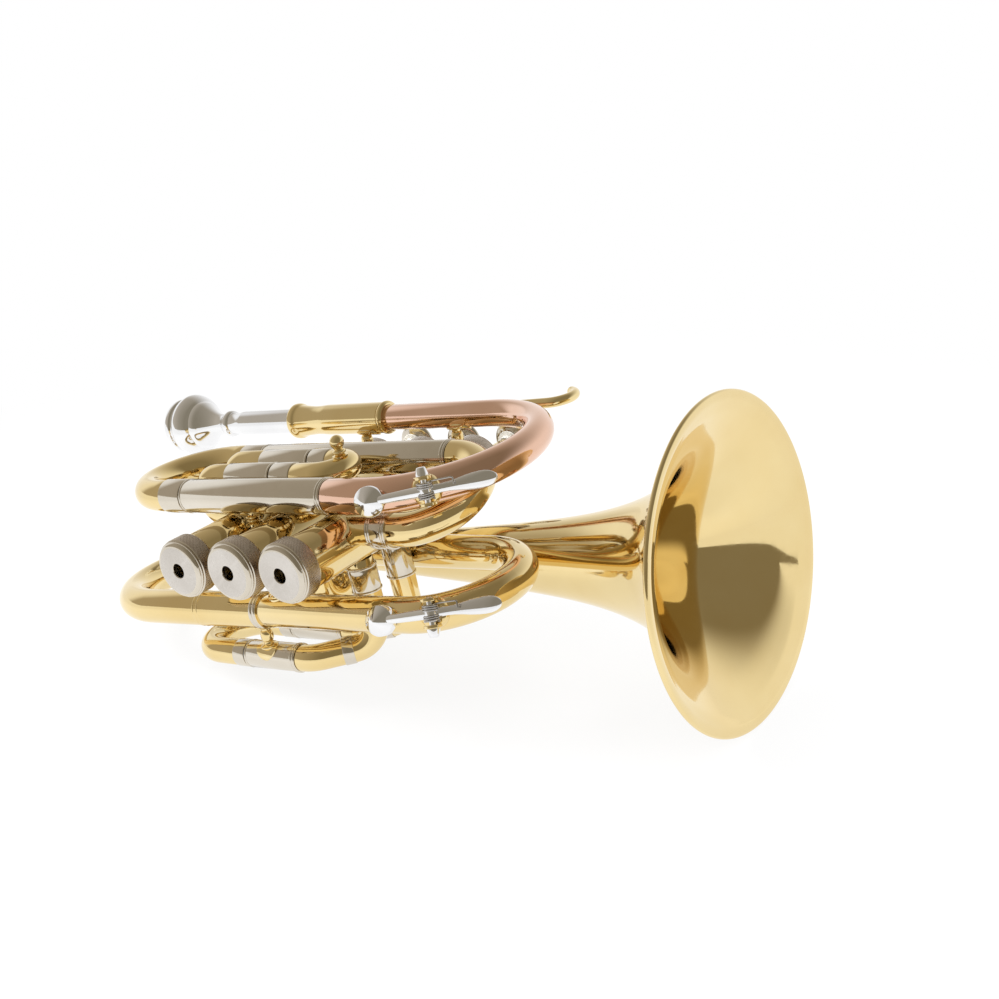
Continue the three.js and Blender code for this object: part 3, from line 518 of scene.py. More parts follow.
class Run:
    """The run of a tube as it is bent at the bench: lengths ahead, bends toward a side, new widths."""

    def __init__(self, start: Vector, heading: Vector, radius: float) -> None:
        """Starts the run.

        Args:
            start: First point of the axis.
            heading: Direction there.
            radius: Outer radius there.
        """
        self.spot = start.copy()
        self.heading = heading.normalized()
        self.radius = radius
        self.stations: list[Station] = []
        self.mark()

    def mark(self) -> "Run":
        """Keeps the present point and returns the run."""
        self.stations.append(Station(self.spot.copy(), self.heading.copy(), self.radius))
        return self

    def ahead(self, length: float) -> "Run":
        """Goes straight on for a length and returns the run."""
        self.spot += self.heading * length
        return self.mark()

    def bend(self, side: Vector, angle: float, bend_radius: float, end_radius: float | None = None) -> "Run":
        """Bends toward a side.

        Args:
            side: The side that the bend goes to.
            angle: The bend's angle in radians.
            bend_radius: Radius of the axis.
            end_radius: Outer radius at its end, if it changes.

        Returns:
            The run.
        """
        heading = self.heading.copy()
        toward = (side - heading * side.dot(heading)).normalized()
        centre = self.spot + toward * bend_radius
        steps = max(2, math.ceil(angle / BEND_STEP))
        start_radius = self.radius
        final = start_radius if end_radius is None else end_radius
        for i in range(1, steps + 1):
            turn = angle * i / steps
            sideways = toward * bend_radius * math.cos(turn)
            self.spot = centre - sideways + heading * bend_radius * math.sin(turn)
            self.heading = heading * math.cos(turn) + toward * math.sin(turn)
            self.radius = start_radius + (final - start_radius) * i / steps
            self.mark()
        return self

    def return_to(self, leg: Vector) -> "Run":
        """Makes a half turn onto a leg that runs back through a point, and returns the run."""
        offset = leg - self.spot
        offset -= self.heading * offset.dot(self.heading)
        return self.bend(offset, math.pi, offset.length / 2)


def run_through(corners: Sequence[Vector], bends: Sequence[float], radius: float) -> Run:
    """Makes a run from corner to corner with rounded corners.

    Args:
        corners: Points of the axis.
        bends: Bend radius at each inner corner.
        radius: Outer radius.

    Returns:
        The run.
    """
    headings = [(b - a) for a, b in zip(corners, corners[1:])]
    lengths = [heading.length for heading in headings]
    headings = [heading.normalized() for heading in headings]
    setbacks = [
        bend * math.tan(headings[i].angle(headings[i + 1]) / 2) for i, bend in enumerate(bends)
    ]
    run = Run(corners[0], headings[0], radius)
    for i, heading in enumerate(headings):
        before = setbacks[i - 1] if i else 0
        after = setbacks[i] if i < len(bends) else 0
        run.ahead(lengths[i] - before - after)
        if i < len(bends):
            run.bend(headings[i + 1], heading.angle(headings[i + 1]), bends[i])
            run.heading = headings[i + 1].copy()
    return run


def eased(points: Outline, steps: int = 6) -> list[tuple[float, float]]:
    """Rounds an outline through its points.

    Args:
        points: The outline's points.
        steps: New points between two given ones.

    Returns:
        The rounded outline.
    """
    spots = [Vector(p) for p in points]
    ends = [spots[0] * 2 - spots[1], *spots, spots[-1] * 2 - spots[-2]]
    made = []
    for a, b, c, d in zip(ends, ends[1:], ends[2:], ends[3:]):
        reach = (c - b).length
        into = (c - a) / max((c - a).length, 1e-6) * reach
        out = (d - b) / max((d - b).length, 1e-6) * reach
        for i in range(steps):
            t = i / steps
            made.append(tuple(
                b * (2 * t**3 - 3 * t**2 + 1) + into * (t**3 - 2 * t**2 + t)
                + c * (3 * t**2 - 2 * t**3) + out * (t**3 - t**2)
            ))
    made.append(tuple(spots[-1]))
    return made


class Bench:
    """Makes pieces with Blender's operators and lays them where the CAD nodes are."""

    def __init__(self) -> None:
        """Finds the place of the instrument's own frame from the middle casing."""
        low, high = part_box("casing_2")
        casing_floor = 0.002
        turn = Matrix((
            (math.cos(LYING_TILT), math.sin(LYING_TILT), 0),
            (0, 0, 1),
            (math.sin(LYING_TILT), -math.cos(LYING_TILT), 0),
        ))
        origin = Vector(((low[0] + high[0]) / 2, low[1] - casing_floor, (low[2] + high[2]) / 2))
        self.place = Matrix.Translation(origin) @ turn.to_4x4() @ Matrix.Scale(METRES, 4)

    def lay(
        self,
        piece: bpy.types.Object,
        name: str,
        finish: MetalFinish | PlainFinish,
        body: Body,
        nodes: Sequence[str] = (),
        local: Matrix | None = None,
        sharp: float = 40,
    ) -> bpy.types.Object:
        """Places, dresses and hangs a finished piece.

        Args:
            piece: The piece, in millimetres.
            name: Its name.
            finish: Its finish.
            body: The body that it rides on.
            nodes: CAD nodes that it stands for.
            local: Its place in the instrument's frame, if it isn't modelled there.
            sharp: Angle in degrees above which an edge stays sharp.

        Returns:
            The piece.
        """
        piece.name = name
        piece.data.name = name
        piece.matrix_world = self.place @ (local or Matrix.Identity(4))
        self.only(piece)
        bpy.ops.object.transform_apply(location=True, rotation=True, scale=True)
        bpy.ops.object.shade_smooth_by_angle(angle=math.radians(sharp))
        piece.data.materials.clear()
        piece.data.materials.append(finish.make())
        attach(piece, body.value)
        if nodes:
            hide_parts(*nodes)
        log.info("%s: %d faces", name, len(piece.data.polygons))
        return piece

    @staticmethod
    def only(piece: bpy.types.Object) -> None:
        """Selects one object and makes it active."""
        bpy.ops.object.select_all(action="DESELECT")
        piece.select_set(True)
        bpy.context.view_layer.objects.active = piece

    def modifier(self, piece: bpy.types.Object, kind: str, **settings: object) -> None:
        """Adds a modifier and applies it.

        Args:
            piece: The piece.
            kind: The modifier's type.
            **settings: Its settings.
        """
        self.only(piece)
        added = piece.modifiers.new(kind.lower(), kind)
        for key, value in settings.items():
            setattr(added, key, value)
        bpy.ops.object.modifier_apply(modifier=added.name)

    def rounded(self, piece: bpy.types.Object, width: float, angle: float) -> None:
        """Rounds a piece's edges.

        Args:
            piece: The piece.
            width: Width of the rounding.
            angle: Angle in degrees above which an edge is rounded.
        """
        limit = math.radians(angle)
        self.modifier(piece, "BEVEL", width=width, segments=2, limit_method="ANGLE", angle_limit=limit)

    @staticmethod
    def welded() -> None:
        """Welds the whole mesh that is being edited, turns it outward and leaves edit mode."""
        bpy.ops.mesh.select_all(action="SELECT")
        bpy.ops.mesh.remove_doubles(threshold=WELD)
        bpy.ops.mesh.normals_make_consistent(inside=False)
        bpy.ops.object.mode_set(mode="OBJECT")

    def turned(
        self, outline: Outline, sides: int = 64, bevel: float = 0.12, closed: bool = True
    ) -> bpy.types.Object:
        """Turns an outline of (radius, distance along the axis) about Z.

        Args:
            outline: The outline.
            sides: Steps round the axis.
            bevel: Width of the rounded edges.
            closed: Whether the outline closes on itself.

        Returns:
            The turned piece.
        """
        bpy.ops.object.select_all(action="DESELECT")
        bpy.ops.mesh.primitive_circle_add(vertices=3, radius=1, enter_editmode=True)
        piece = bpy.context.object
        bpy.ops.mesh.select_all(action="SELECT")
        bpy.ops.mesh.merge(type="CENTER")
        points = [Vector((radius, 0, along)) for radius, along in outline]
        if closed:
            points.append(points[0].copy())
        bpy.ops.transform.translate(value=points[0])
        for here, there in zip(points, points[1:]):
            bpy.ops.mesh.extrude_region_move(TRANSFORM_OT_translate={"value": there - here})
        bpy.ops.mesh.select_all(action="SELECT")
        bpy.ops.mesh.spin(steps=sides, angle=2 * math.pi, center=(0, 0, 0), axis=(0, 0, 1))
        self.welded()
        if bevel:
            self.rounded(piece, bevel, TURNED_EDGE)
        return piece

    def tube(self, run: Run, wall: float | None = WALL, sides: int = 48) -> bpy.types.Object:
        """Draws a tube along a run; without a wall it is a rod.

        Args:
            run: The run.
            wall: The wall's thickness, or None for a rod.
            sides: Faces round it.

        Returns:
            The tube, modelled in the instrument's frame.
        """
        bpy.ops.object.select_all(action="DESELECT")
        bpy.ops.curve.primitive_nurbs_path_add(enter_editmode=False)
        path = bpy.context.object
        data = path.data
        data.splines.clear()
        spline = data.splines.new("POLY")
        spline.points.add(len(run.stations) - 1)
        for point, station in zip(spline.points, run.stations):
            point.co = (*station.spot, 1)
            point.radius = station.radius
        data.dimensions = "3D"
        data.twist_mode = "MINIMUM"
        data.bevel_depth = 1
        data.bevel_resolution = (sides - 4) // 2
        data.use_fill_caps = wall is None
        self.only(path)
        bpy.ops.object.convert(target="MESH")
        piece = bpy.context.object
        bpy.ops.object.mode_set(mode="EDIT")
        self.welded()
        if wall is not None:
            self.modifier(piece, "SOLIDIFY", thickness=wall, offset=-1, use_even_offset=False)
            self.rounded(piece, 0.1, TUBE_EDGE)
        return piece

    def joined(self, pieces: Sequence[bpy.types.Object]) -> bpy.types.Object:
        """Joins pieces into the first one and returns it."""
        self.only(pieces[0])
        for piece in pieces:
            piece.select_set(True)
        bpy.ops.object.join()
        return bpy.context.object

    @staticmethod
    def at(start: Vector, axis: Vector) -> Matrix:
        """Matrix that stands a turned piece on a point along an axis."""
        return Matrix.Translation(start) @ UP.rotation_difference(axis).to_matrix().to_4x4()

    def placed(self, piece: bpy.types.Object, start: Vector, axis: Vector) -> bpy.types.Object:
        """Moves a turned piece into the instrument's frame and returns it."""
        piece.matrix_world = self.at(start, axis)
        self.only(piece)
        bpy.ops.object.transform_apply(location=True, rotation=True, scale=True)
        return piece

    def bored(self, piece: bpy.types.Object, spot: Vector, radius: float, height: float) -> bpy.types.Object:
        """Cuts an upright bore out of a piece, as a tube's end is fitted to a casing.

        Args:
            piece: The piece.
            spot: Middle of the bore.
            radius: Its radius.
            height: Its height.

        Returns:
            The piece.
        """
        bpy.ops.object.select_all(action="DESELECT")
        bpy.ops.mesh.primitive_cylinder_add(vertices=128, radius=radius, depth=height, location=spot)
        cutter = bpy.context.object
        self.modifier(piece, "BOOLEAN", operation="DIFFERENCE", object=cutter, solver="EXACT")
        bpy.data.objects.remove(cutter)
        return piece

    def plate(
        self, spot: Vector, radius: float, toward: Vector, reach: float, length: float
    ) -> bpy.types.Object:
        """Shapes an oval plate to a tube that runs forward, as a brace's foot is.

        Args:
            spot: Point of the tube's axis under the plate.
            radius: The tube's outer radius.
            toward: Side of the tube that the plate lies on.
            reach: Half of the plate's width round the tube.
            length: Half of its length along the tube.

        Returns:
            The plate in the instrument's frame.
        """
        end = length + 0.5
        sleeve = [(radius - 0.2, -end), (radius + 0.5, -end), (radius + 0.5, end), (radius - 0.2, end)]
        plate = self.placed(self.turned(sleeve, sides=96, bevel=0), spot, FORWARD)
        block = [(0, 0.5), (reach, 0.5), (reach, radius + 3), (0, radius + 3)]
        cutter = self.placed(self.turned(block, sides=48, bevel=0, closed=False), spot, toward.normalized())
        bpy.ops.object.mode_set(mode="EDIT")
        bpy.ops.mesh.select_all(action="SELECT")
        bpy.ops.transform.resize(value=(length / reach, 1, 1), center_override=spot)
        bpy.ops.object.mode_set(mode="OBJECT")
        self.modifier(plate, "BOOLEAN", operation="INTERSECT", object=cutter, solver="EXACT")
        bpy.data.objects.remove(cutter)
        self.rounded(plate, 0.16, TUBE_EDGE)
        return plate

    def band(self, start: Vector, axis: Vector, inner: float, outline: Outline) -> bpy.types.Object:
        """Turns a band round a tube.

        Args:
            start: The band's first end on the tube's axis.
            axis: The tube's direction.
            inner: The band's bore.
            outline: Its outside, as (radius, distance along).

        Returns:
            The band in the instrument's frame.
        """
        whole = [(inner, outline[0][1]), *outline, (inner, outline[-1][1])]
        return self.placed(self.turned(whole, bevel=0.06), start, axis)


def ring(radius: float, start: float, length: float, rise: float) -> list[tuple[float, float]]:
    """Outline of a half-round ring that stands on a tube.

    Args:
        radius: The tube's radius.
        start: Where the ring starts.
        length: Its length along the tube.
        rise: Its height.

    Returns:
        The outline.
    """
    return [
        (radius + rise * math.sin(math.pi * i / 8), start + length * (1 - math.cos(math.pi * i / 8)) / 2)
        for i in range(9)
    ]


@dataclass
class Valves:
    """Three piston valves: casings, caps, stems, buttons, pearls and what hides inside."""

    pitch: float = 24
    radius: float = 9.2
    casing_bore: float = 8.4
    casing_floor: float = 2.0
    casing_top: float = 107.5
    cap_bore: float = 9.65
    knurl_radius: float = 10.35
    vent: float = 2.5
    top_cap_base: float = 101.6
    collar: float = 5.4
    stem_radius: float = 2.55
    stroke: float = 16
    spring_wire: float = 0.5
    spring_turns: int = 6
    steps_a_turn: int = 24
    spring_slack: float = 0.3
    stem_base: float = 77.3
    stem_top: float = 128.1
    button_base: float = 128.4

    def build(self, bench: Bench) -> None:
        """Builds and dresses the valves.

        Args:
            bench: The bench.
        """
        moving = (Body.VALVE_1, Body.VALVE_2, Body.VALVE_3)
        for number, (x, body) in enumerate(zip((-self.pitch, 0, self.pitch), moving), start=1):
            spot = Vector((x, 0, 0))
            knurled = self.knurled_finish(bench, spot, number)
            casing = [
                (self.casing_bore, self.casing_floor), (self.radius, self.casing_floor),
                (self.radius, self.casing_top), (self.casing_bore, self.casing_top),
            ]
            bench.lay(bench.turned(casing), f"valve_casing_{number}", YELLOW, Body.FRAME,
                      [f"casing_{number}"], bench.at(spot, UP))
            self.cap(bench, f"bottom_cap_polished_{number}", self.bottom_outline(), knurled, spot,
                     f"bottom_cap_{number}")
            self.cap(bench, f"top_cap_polished_{number}", self.top_outline(), knurled, spot,
                     f"top_cap_{number}")
            self.stem_and_button(bench, spot, number, body)
            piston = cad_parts[f"piston_{number}"]
            piston.data.materials.clear()
            piston.data.materials.append(NICKEL.make())
            self.spring(bench, number)

    def spring(self, bench: Bench, number: int) -> None:
        """Winds the return spring, which the piston presses together.

        Args:
            bench: The bench.
            number: The valve's number.
        """
        low, high = (Vector(corner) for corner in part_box(f"valve_spring_{number}"))
        wire = self.spring_wire
        radius = (high.x - low.x) * PER_METRE / 2 - wire
        rise = (high.y - low.y) * PER_METRE - 2 * wire
        foot = Vector(((low.x + high.x) / 2, low.y, (low.z + high.z) / 2))
        base = bench.place.inverted() @ foot + UP * wire
        run = Run(base + FORWARD * radius, LEFT, wire)
        run.stations.clear()
        steps = self.spring_turns * self.steps_a_turn
        for i in range(steps + 1):
            turn = 2 * math.pi * i / self.steps_a_turn
            run.spot = base + Vector((radius * math.cos(turn), radius * math.sin(turn), rise * i / steps))
            run.mark()
        spring = bench.lay(
            bench.tube(run, None, sides=12), f"return_spring_{number}", STEEL, Body.FRAME,
            [f"valve_spring_{number}"])
        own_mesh(spring)

    def knurled_finish(self, bench: Bench, spot: Vector, number: int) -> MetalFinish:
        """Knurled nickel whose pattern turns about one valve's axis.

        Args:
            bench: The bench.
            spot: The valve's axis.
            number: The valve's number.

        Returns:
            The finish.
        """
        return MetalFinish(
            f"knurled_nickel_{number}", Slot.NICKEL, (0.68, 0.59, 0.49), (0.58, 0.49, 0.40),
            (0.84, 0.79, 0.71), rough=(0.22, 0.32), knurled=True, centre=tuple(bench.place @ spot),
        )

    def bottom_outline(self) -> list[tuple[float, float]]:
        """Outline of a bottom cap: face, bevel, bead, groove and knurled barrel."""
        chamfer = eased([(8.35, 0.0), (8.95, 0.18), (9.5, 0.62), (9.72, 1.15)], 3)
        bead = ring(9.7, 1.3, 0.62, 0.42)
        return [
            (self.vent, 0.25), (self.vent + 0.2, 0.0), (8.2, 0.0), *chamfer, (9.6, 1.25), *bead,
            (9.62, 2.05), (self.knurl_radius - 0.2, 2.2), (self.knurl_radius, 2.4),
            (self.knurl_radius, 7.9), (self.knurl_radius - 0.2, 8.2), (9.95, 8.6),
            (self.cap_bore, 8.6), (self.cap_bore, 1.7), (self.vent, 1.7),
        ]

    def top_outline(self) -> list[tuple[float, float]]:
        """Outline of a top cap: knurled barrel, rounded shoulder and stem collar."""
        base = self.top_cap_base
        crown = eased([(9.6, 7.25), (8.6, 7.75), (6.9, 8.1), (6.0, 8.35)], 4)
        return [
            (self.cap_bore, base), (self.knurl_radius - 0.2, base), (self.knurl_radius, base + 0.25),
            (self.knurl_radius, base + 6.2), (self.knurl_radius - 0.35, base + 6.45), (9.7, base + 6.5),
            (9.7, base + 6.9), (9.95, base + 7.0), *((r, base + z) for r, z in crown),
            (5.9, base + 8.7), (self.collar, base + 8.9), (self.collar, base + 10.1),
            (self.collar - 0.3, base + 10.4), (3.2, base + 10.4), (3.2, base + 6.2),
            (self.cap_bore, base + 6.2),
        ]

    def cap(
        self, bench: Bench, name: str, outline: Outline, knurled: MetalFinish, spot: Vector, node: str
    ) -> None:
        """Turns a cap and gives its face, bevels and barrel their own finishes.

        Args:
            bench: The bench.
            name: The piece's name.
            outline: The cap's outline.
            knurled: Finish of the barrel.
            spot: The valve's axis.
            node: The CAD node that it stands for.
        """
        piece = bench.turned(outline, sides=96, bevel=0.05)
        marks = []
        for face in piece.data.polygons:
            away = math.hypot(face.center.x, face.center.y)
            if away > self.knurl_radius - 0.03 * self.knurl_radius and abs(face.normal.z) < 0.3:
                marks.append(1)
            elif away < 8.3 and face.normal.z < -0.9 and face.center.z < 0.2:
                marks.append(2)
            else:
                marks.append(0)
        bench.lay(piece, name, NICKEL, Body.FRAME, [node], bench.at(spot, UP))
        piece.data.materials.append(knurled.make())
        piece.data.materials.append(SATIN.make())
        piece.data.polygons.foreach_set("material_index", marks)

    def stem_and_button(self, bench: Bench, spot: Vector, number: int, body: Body) -> None:
        """Builds a stem, its button, its pearl and the felt under the button.

        Args:
            bench: The bench.
            spot: The valve's axis.
            number: The valve's number.
            body: The valve's moving body.
        """
        at = bench.at(spot, UP)
        stem = [
            (0, self.stem_base), (self.stem_radius, self.stem_base), (self.stem_radius, self.stem_top),
            (0, self.stem_top),
        ]
        bench.lay(bench.turned(stem, closed=False), f"valve_stem_{number}", YELLOW, body,
                  [f"stem_{number}"], at)
        base = self.button_base
        cup = eased([(3.2, 0.35), (4.1, 0.9), (6.4, 1.7), (7.6, 2.4), (7.95, 3.1)], 4)
        button = [
            (0, base), (3.1, base), *((r, base + z) for r, z in cup), (7.85, base + 3.9),
            (7.5, base + 4.2), (6.7, base + 4.2), (6.6, base + 3.9), (6.6, base + 2.9), (0, base + 2.9),
        ]
        bench.lay(bench.turned(button, closed=False), f"finger_button_{number}", NICKEL, body,
                  [f"button_{number}"], at)
        dome = eased([(6.3, 0.9), (6.0, 1.25), (4.6, 1.45), (2.4, 1.56), (0, 1.6)], 4)
        pearl_base = base + 3.2
        pearl = [(0, pearl_base), (6.3, pearl_base), *((r, pearl_base + z) for r, z in dome)]
        bench.lay(bench.turned(pearl, closed=False), f"button_pearl_{number}", PEARL, body,
                  [f"pearl_{number}"], at)
        felt = [
            (self.stem_radius, base - 2.4), (2.95, base - 2.4), (3.05, base - 2.2), (3.05, base - 0.34),
            (4.6, base - 0.34), (4.75, base - 0.2), (4.75, base), (self.stem_radius, base),
        ]
        bench.lay(bench.turned(felt, sides=40), f"button_felt_{number}", FELT, body, (), at)


@dataclass
class Lead:
    """Mouthpiece, receiver and rose-brass leadpipe."""

    y: float = -20
    z: float = 102
    rim_x: float = -126.2
    mouth_x: float = -56.5
    end_x: float = -7.8
    length: float = 87
    pipe_start: float = -14
    pipe_radius: float = 4.8
    bow_x: float = 40.8
    joint_x: float = 27.6
    end_radius: float = 6.05
    low_y: float = -16.5
    low_z: float = 27.5

    def build(self, bench: Bench) -> None:
        """Builds and dresses the lead pieces.

        Args:
            bench: The bench.
        """
        self.mouthpiece(bench)
        self.receiver(bench)
        run = Run(Vector((self.pipe_start, self.y, self.z)), FORWARD, self.pipe_radius)
        run.ahead(self.bow_x - self.pipe_start)
        offset = Vector((0, self.low_y - self.y, self.low_z - self.z))
        run.bend(offset, math.pi, offset.length / 2, self.end_radius)
        run.ahead(self.bow_x - self.joint_x)
        bench.lay(bench.tube(run, sides=64), "rose_leadpipe", ROSE, Body.FRAME, ["leadpipe"])

    def mouthpiece(self, bench: Bench) -> None:
        """Turns the mouthpiece: cup, throat and backbore inside, rim, bowl and shank outside.

        Args:
            bench: The bench.
        """
        rim = eased([
            (8.05, 2.6), (8.3, 1.6), (8.9, 1.12), (9.6, 1.05), (10.5, 1.5), (11.1, 2.6), (11.25, 3.6),
        ], 4)
        bowl = eased([
            (11.25, 3.7), (11.15, 4.4), (10.55, 4.9), (10.4, 5.4), (10.75, 6.1), (11.7, 7.2), (12.5, 8.6),
            (12.85, 10.2), (12.5, 11.7), (11.8, 13.1), (10.9, 14.4), (10.2, 15.1), (9.75, 15.5), (9.6, 16.0),
            (9.1, 17.1), (7.7, 18.9), (6.3, 20.9), (5.1, 23.1), (4.4, 25.2), (4.15, 27.2), (4.15, 28.4),
            (4.3, 29.4),
        ], 4)
        bead = [
            (4.35, 29.9), *ring(4.4, 30.0, 3.4, 1.0), (4.25, 34.4), (4.2, 36.2), (4.45, 38.0), (4.8, 39.6),
        ]
        shank = [(4.85, 40.4), (4.85, 68), (4.5, self.length)]
        cup = eased([
            (3.7, self.length), (2.6, 48), (1.9, 14.6), (1.95, 13.1), (2.6, 11.7), (4.1, 9.8),
            (6.0, 7.2), (7.3, 4.8), (8.05, 2.65),
        ], 3)
        outline = [*rim, *bowl, *bead, *shank, *cup[:-1]]
        bench.lay(bench.turned(outline, sides=96, bevel=0), "silver_mouthpiece", SILVER, Body.MOUTHPIECE,
                  ["mouthpiece"], bench.at(Vector((self.rim_x, self.y, self.z)), FORWARD), sharp=50)

    def receiver(self, bench: Bench) -> None:
        """Turns the receiver with its flared mouth, waist, body and end ring.

        Args:
            bench: The bench.
        """
        reach = self.end_x - self.mouth_x
        mouth = eased([(6.4, 0.0), (6.85, 0.5), (6.95, 1.4), (6.8, 2.4), (6.3, 3.3)], 4)
        waist = eased([(6.15, 3.9), (5.75, 7.5), (5.55, 11), (5.62, 14), (5.85, 17.2)], 5)
        body = [(5.9, 18.2), (5.9, reach - 2.6), (5.75, reach - 2.5), (5.75, reach - 2.3)]
        rings = ring(5.8, reach - 2.2, 1.8, 0.5)
        outline = [(5.25, 0), *mouth, *waist, *body, *rings, (5.5, reach), (4.84, reach), (4.84, reach - 1),
                   (5.25, reach - 1.2)]
        bench.lay(bench.turned(outline, sides=80, bevel=0), "mouthpiece_receiver", YELLOW, Body.FRAME,
                  ["receiver"], bench.at(Vector((self.mouth_x, self.y, self.z)), FORWARD), sharp=50)


@dataclass
class Slide:
    """A slide: two outer tubes and the crook that draws out of them.

    Attributes:
        name: Name of the slide.
        body: The body of the crook.
        ends: Far end of each outer tube, where the crook goes in.
        starts: The other end of each outer tube.
        radius: Outer radius of each outer tube.
        bow: Outer radius of the bow.
        bow_at: Where the bow starts, along each leg from the outer tube's end.
        ferrules: Length of each ferrule.
        engagement: How far the legs go in.
        nodes: CAD nodes of the outer tubes and of the crook.
        ringed: Whether each outer tube starts with a pair of rings.
    """

    name: str
    body: Body
    ends: tuple[Vector, Vector]
    starts: tuple[Vector, Vector]
    radius: tuple[float, float]
    bow: float
    bow_at: tuple[float, float]
    ferrules: tuple[float, float]
    engagement: float
    nodes: tuple[str, str, str]
    ringed: bool = True

    def build(self, bench: Bench) -> None:
        """Builds the outer tubes with their rings, the legs, the ferrules and the bow.

        Args:
            bench: The bench.
        """
        heading = (self.ends[0] - self.starts[0]).normalized()
        for i in range(2):
            length = (self.ends[i] - self.starts[i]).length
            inner = self.radius[i] - WALL
            radius = self.radius[i]
            tube = bench.tube(Run(self.starts[i], heading, radius).ahead(length), sides=64)
            parts = [tube, bench.band(self.ends[i] - heading * 0.85, heading, inner + 0.2,
                                      ring(radius, 0, 0.8, 0.12))]
            if self.ringed:
                pair = [*ring(radius, 0.15, 0.9, 0.26), *ring(radius, 1.2, 0.9, 0.26)]
                parts.append(bench.band(self.starts[i], heading, radius - 0.1, pair))
            bench.lay(bench.joined(parts), f"{self.name}_outer_{i + 1}", NICKEL, Body.FRAME, [self.nodes[i]])
        self.crook(bench, heading)

    def crook(self, bench: Bench, heading: Vector) -> None:
        """Builds the drawn crook: nickel legs and ferrules, and a brass bow.

        Args:
            bench: The bench.
            heading: Direction from the outer tubes to the bow.
        """
        run = Run(self.ends[0] + heading * (self.ferrules[0] - TUCK), heading, self.bow)
        run.ahead(self.bow_at[0] - self.ferrules[0] + TUCK).return_to(self.ends[1])
        run.ahead(self.bow_at[1] - self.ferrules[1] + TUCK)
        bow = bench.lay(bench.tube(run, sides=64), f"{self.name}_bow", YELLOW, self.body, [self.nodes[2]])
        parts = []
        for end, radius, ferrule in zip(self.ends, self.radius, self.ferrules):
            leg = radius - WALL - SLIP
            parts.append(bench.tube(Run(end - heading * self.engagement, heading, leg)
                                    .ahead(self.engagement + 1)))
            outline = [
                (radius - 0.4, 0.5), (radius - 0.02, 0.62), (radius - 0.02, ferrule - 0.25),
                (radius - 0.2, ferrule), (self.bow - 0.1, ferrule),
            ]
            parts.append(bench.band(end, heading, leg - WALL, outline))
        ferrules = bench.lay(bench.joined(parts), f"{self.name}_ferrules", NICKEL, self.body)
        log.info("%s: bow %s, ferrules %s", self.name, bow.name, ferrules.name)


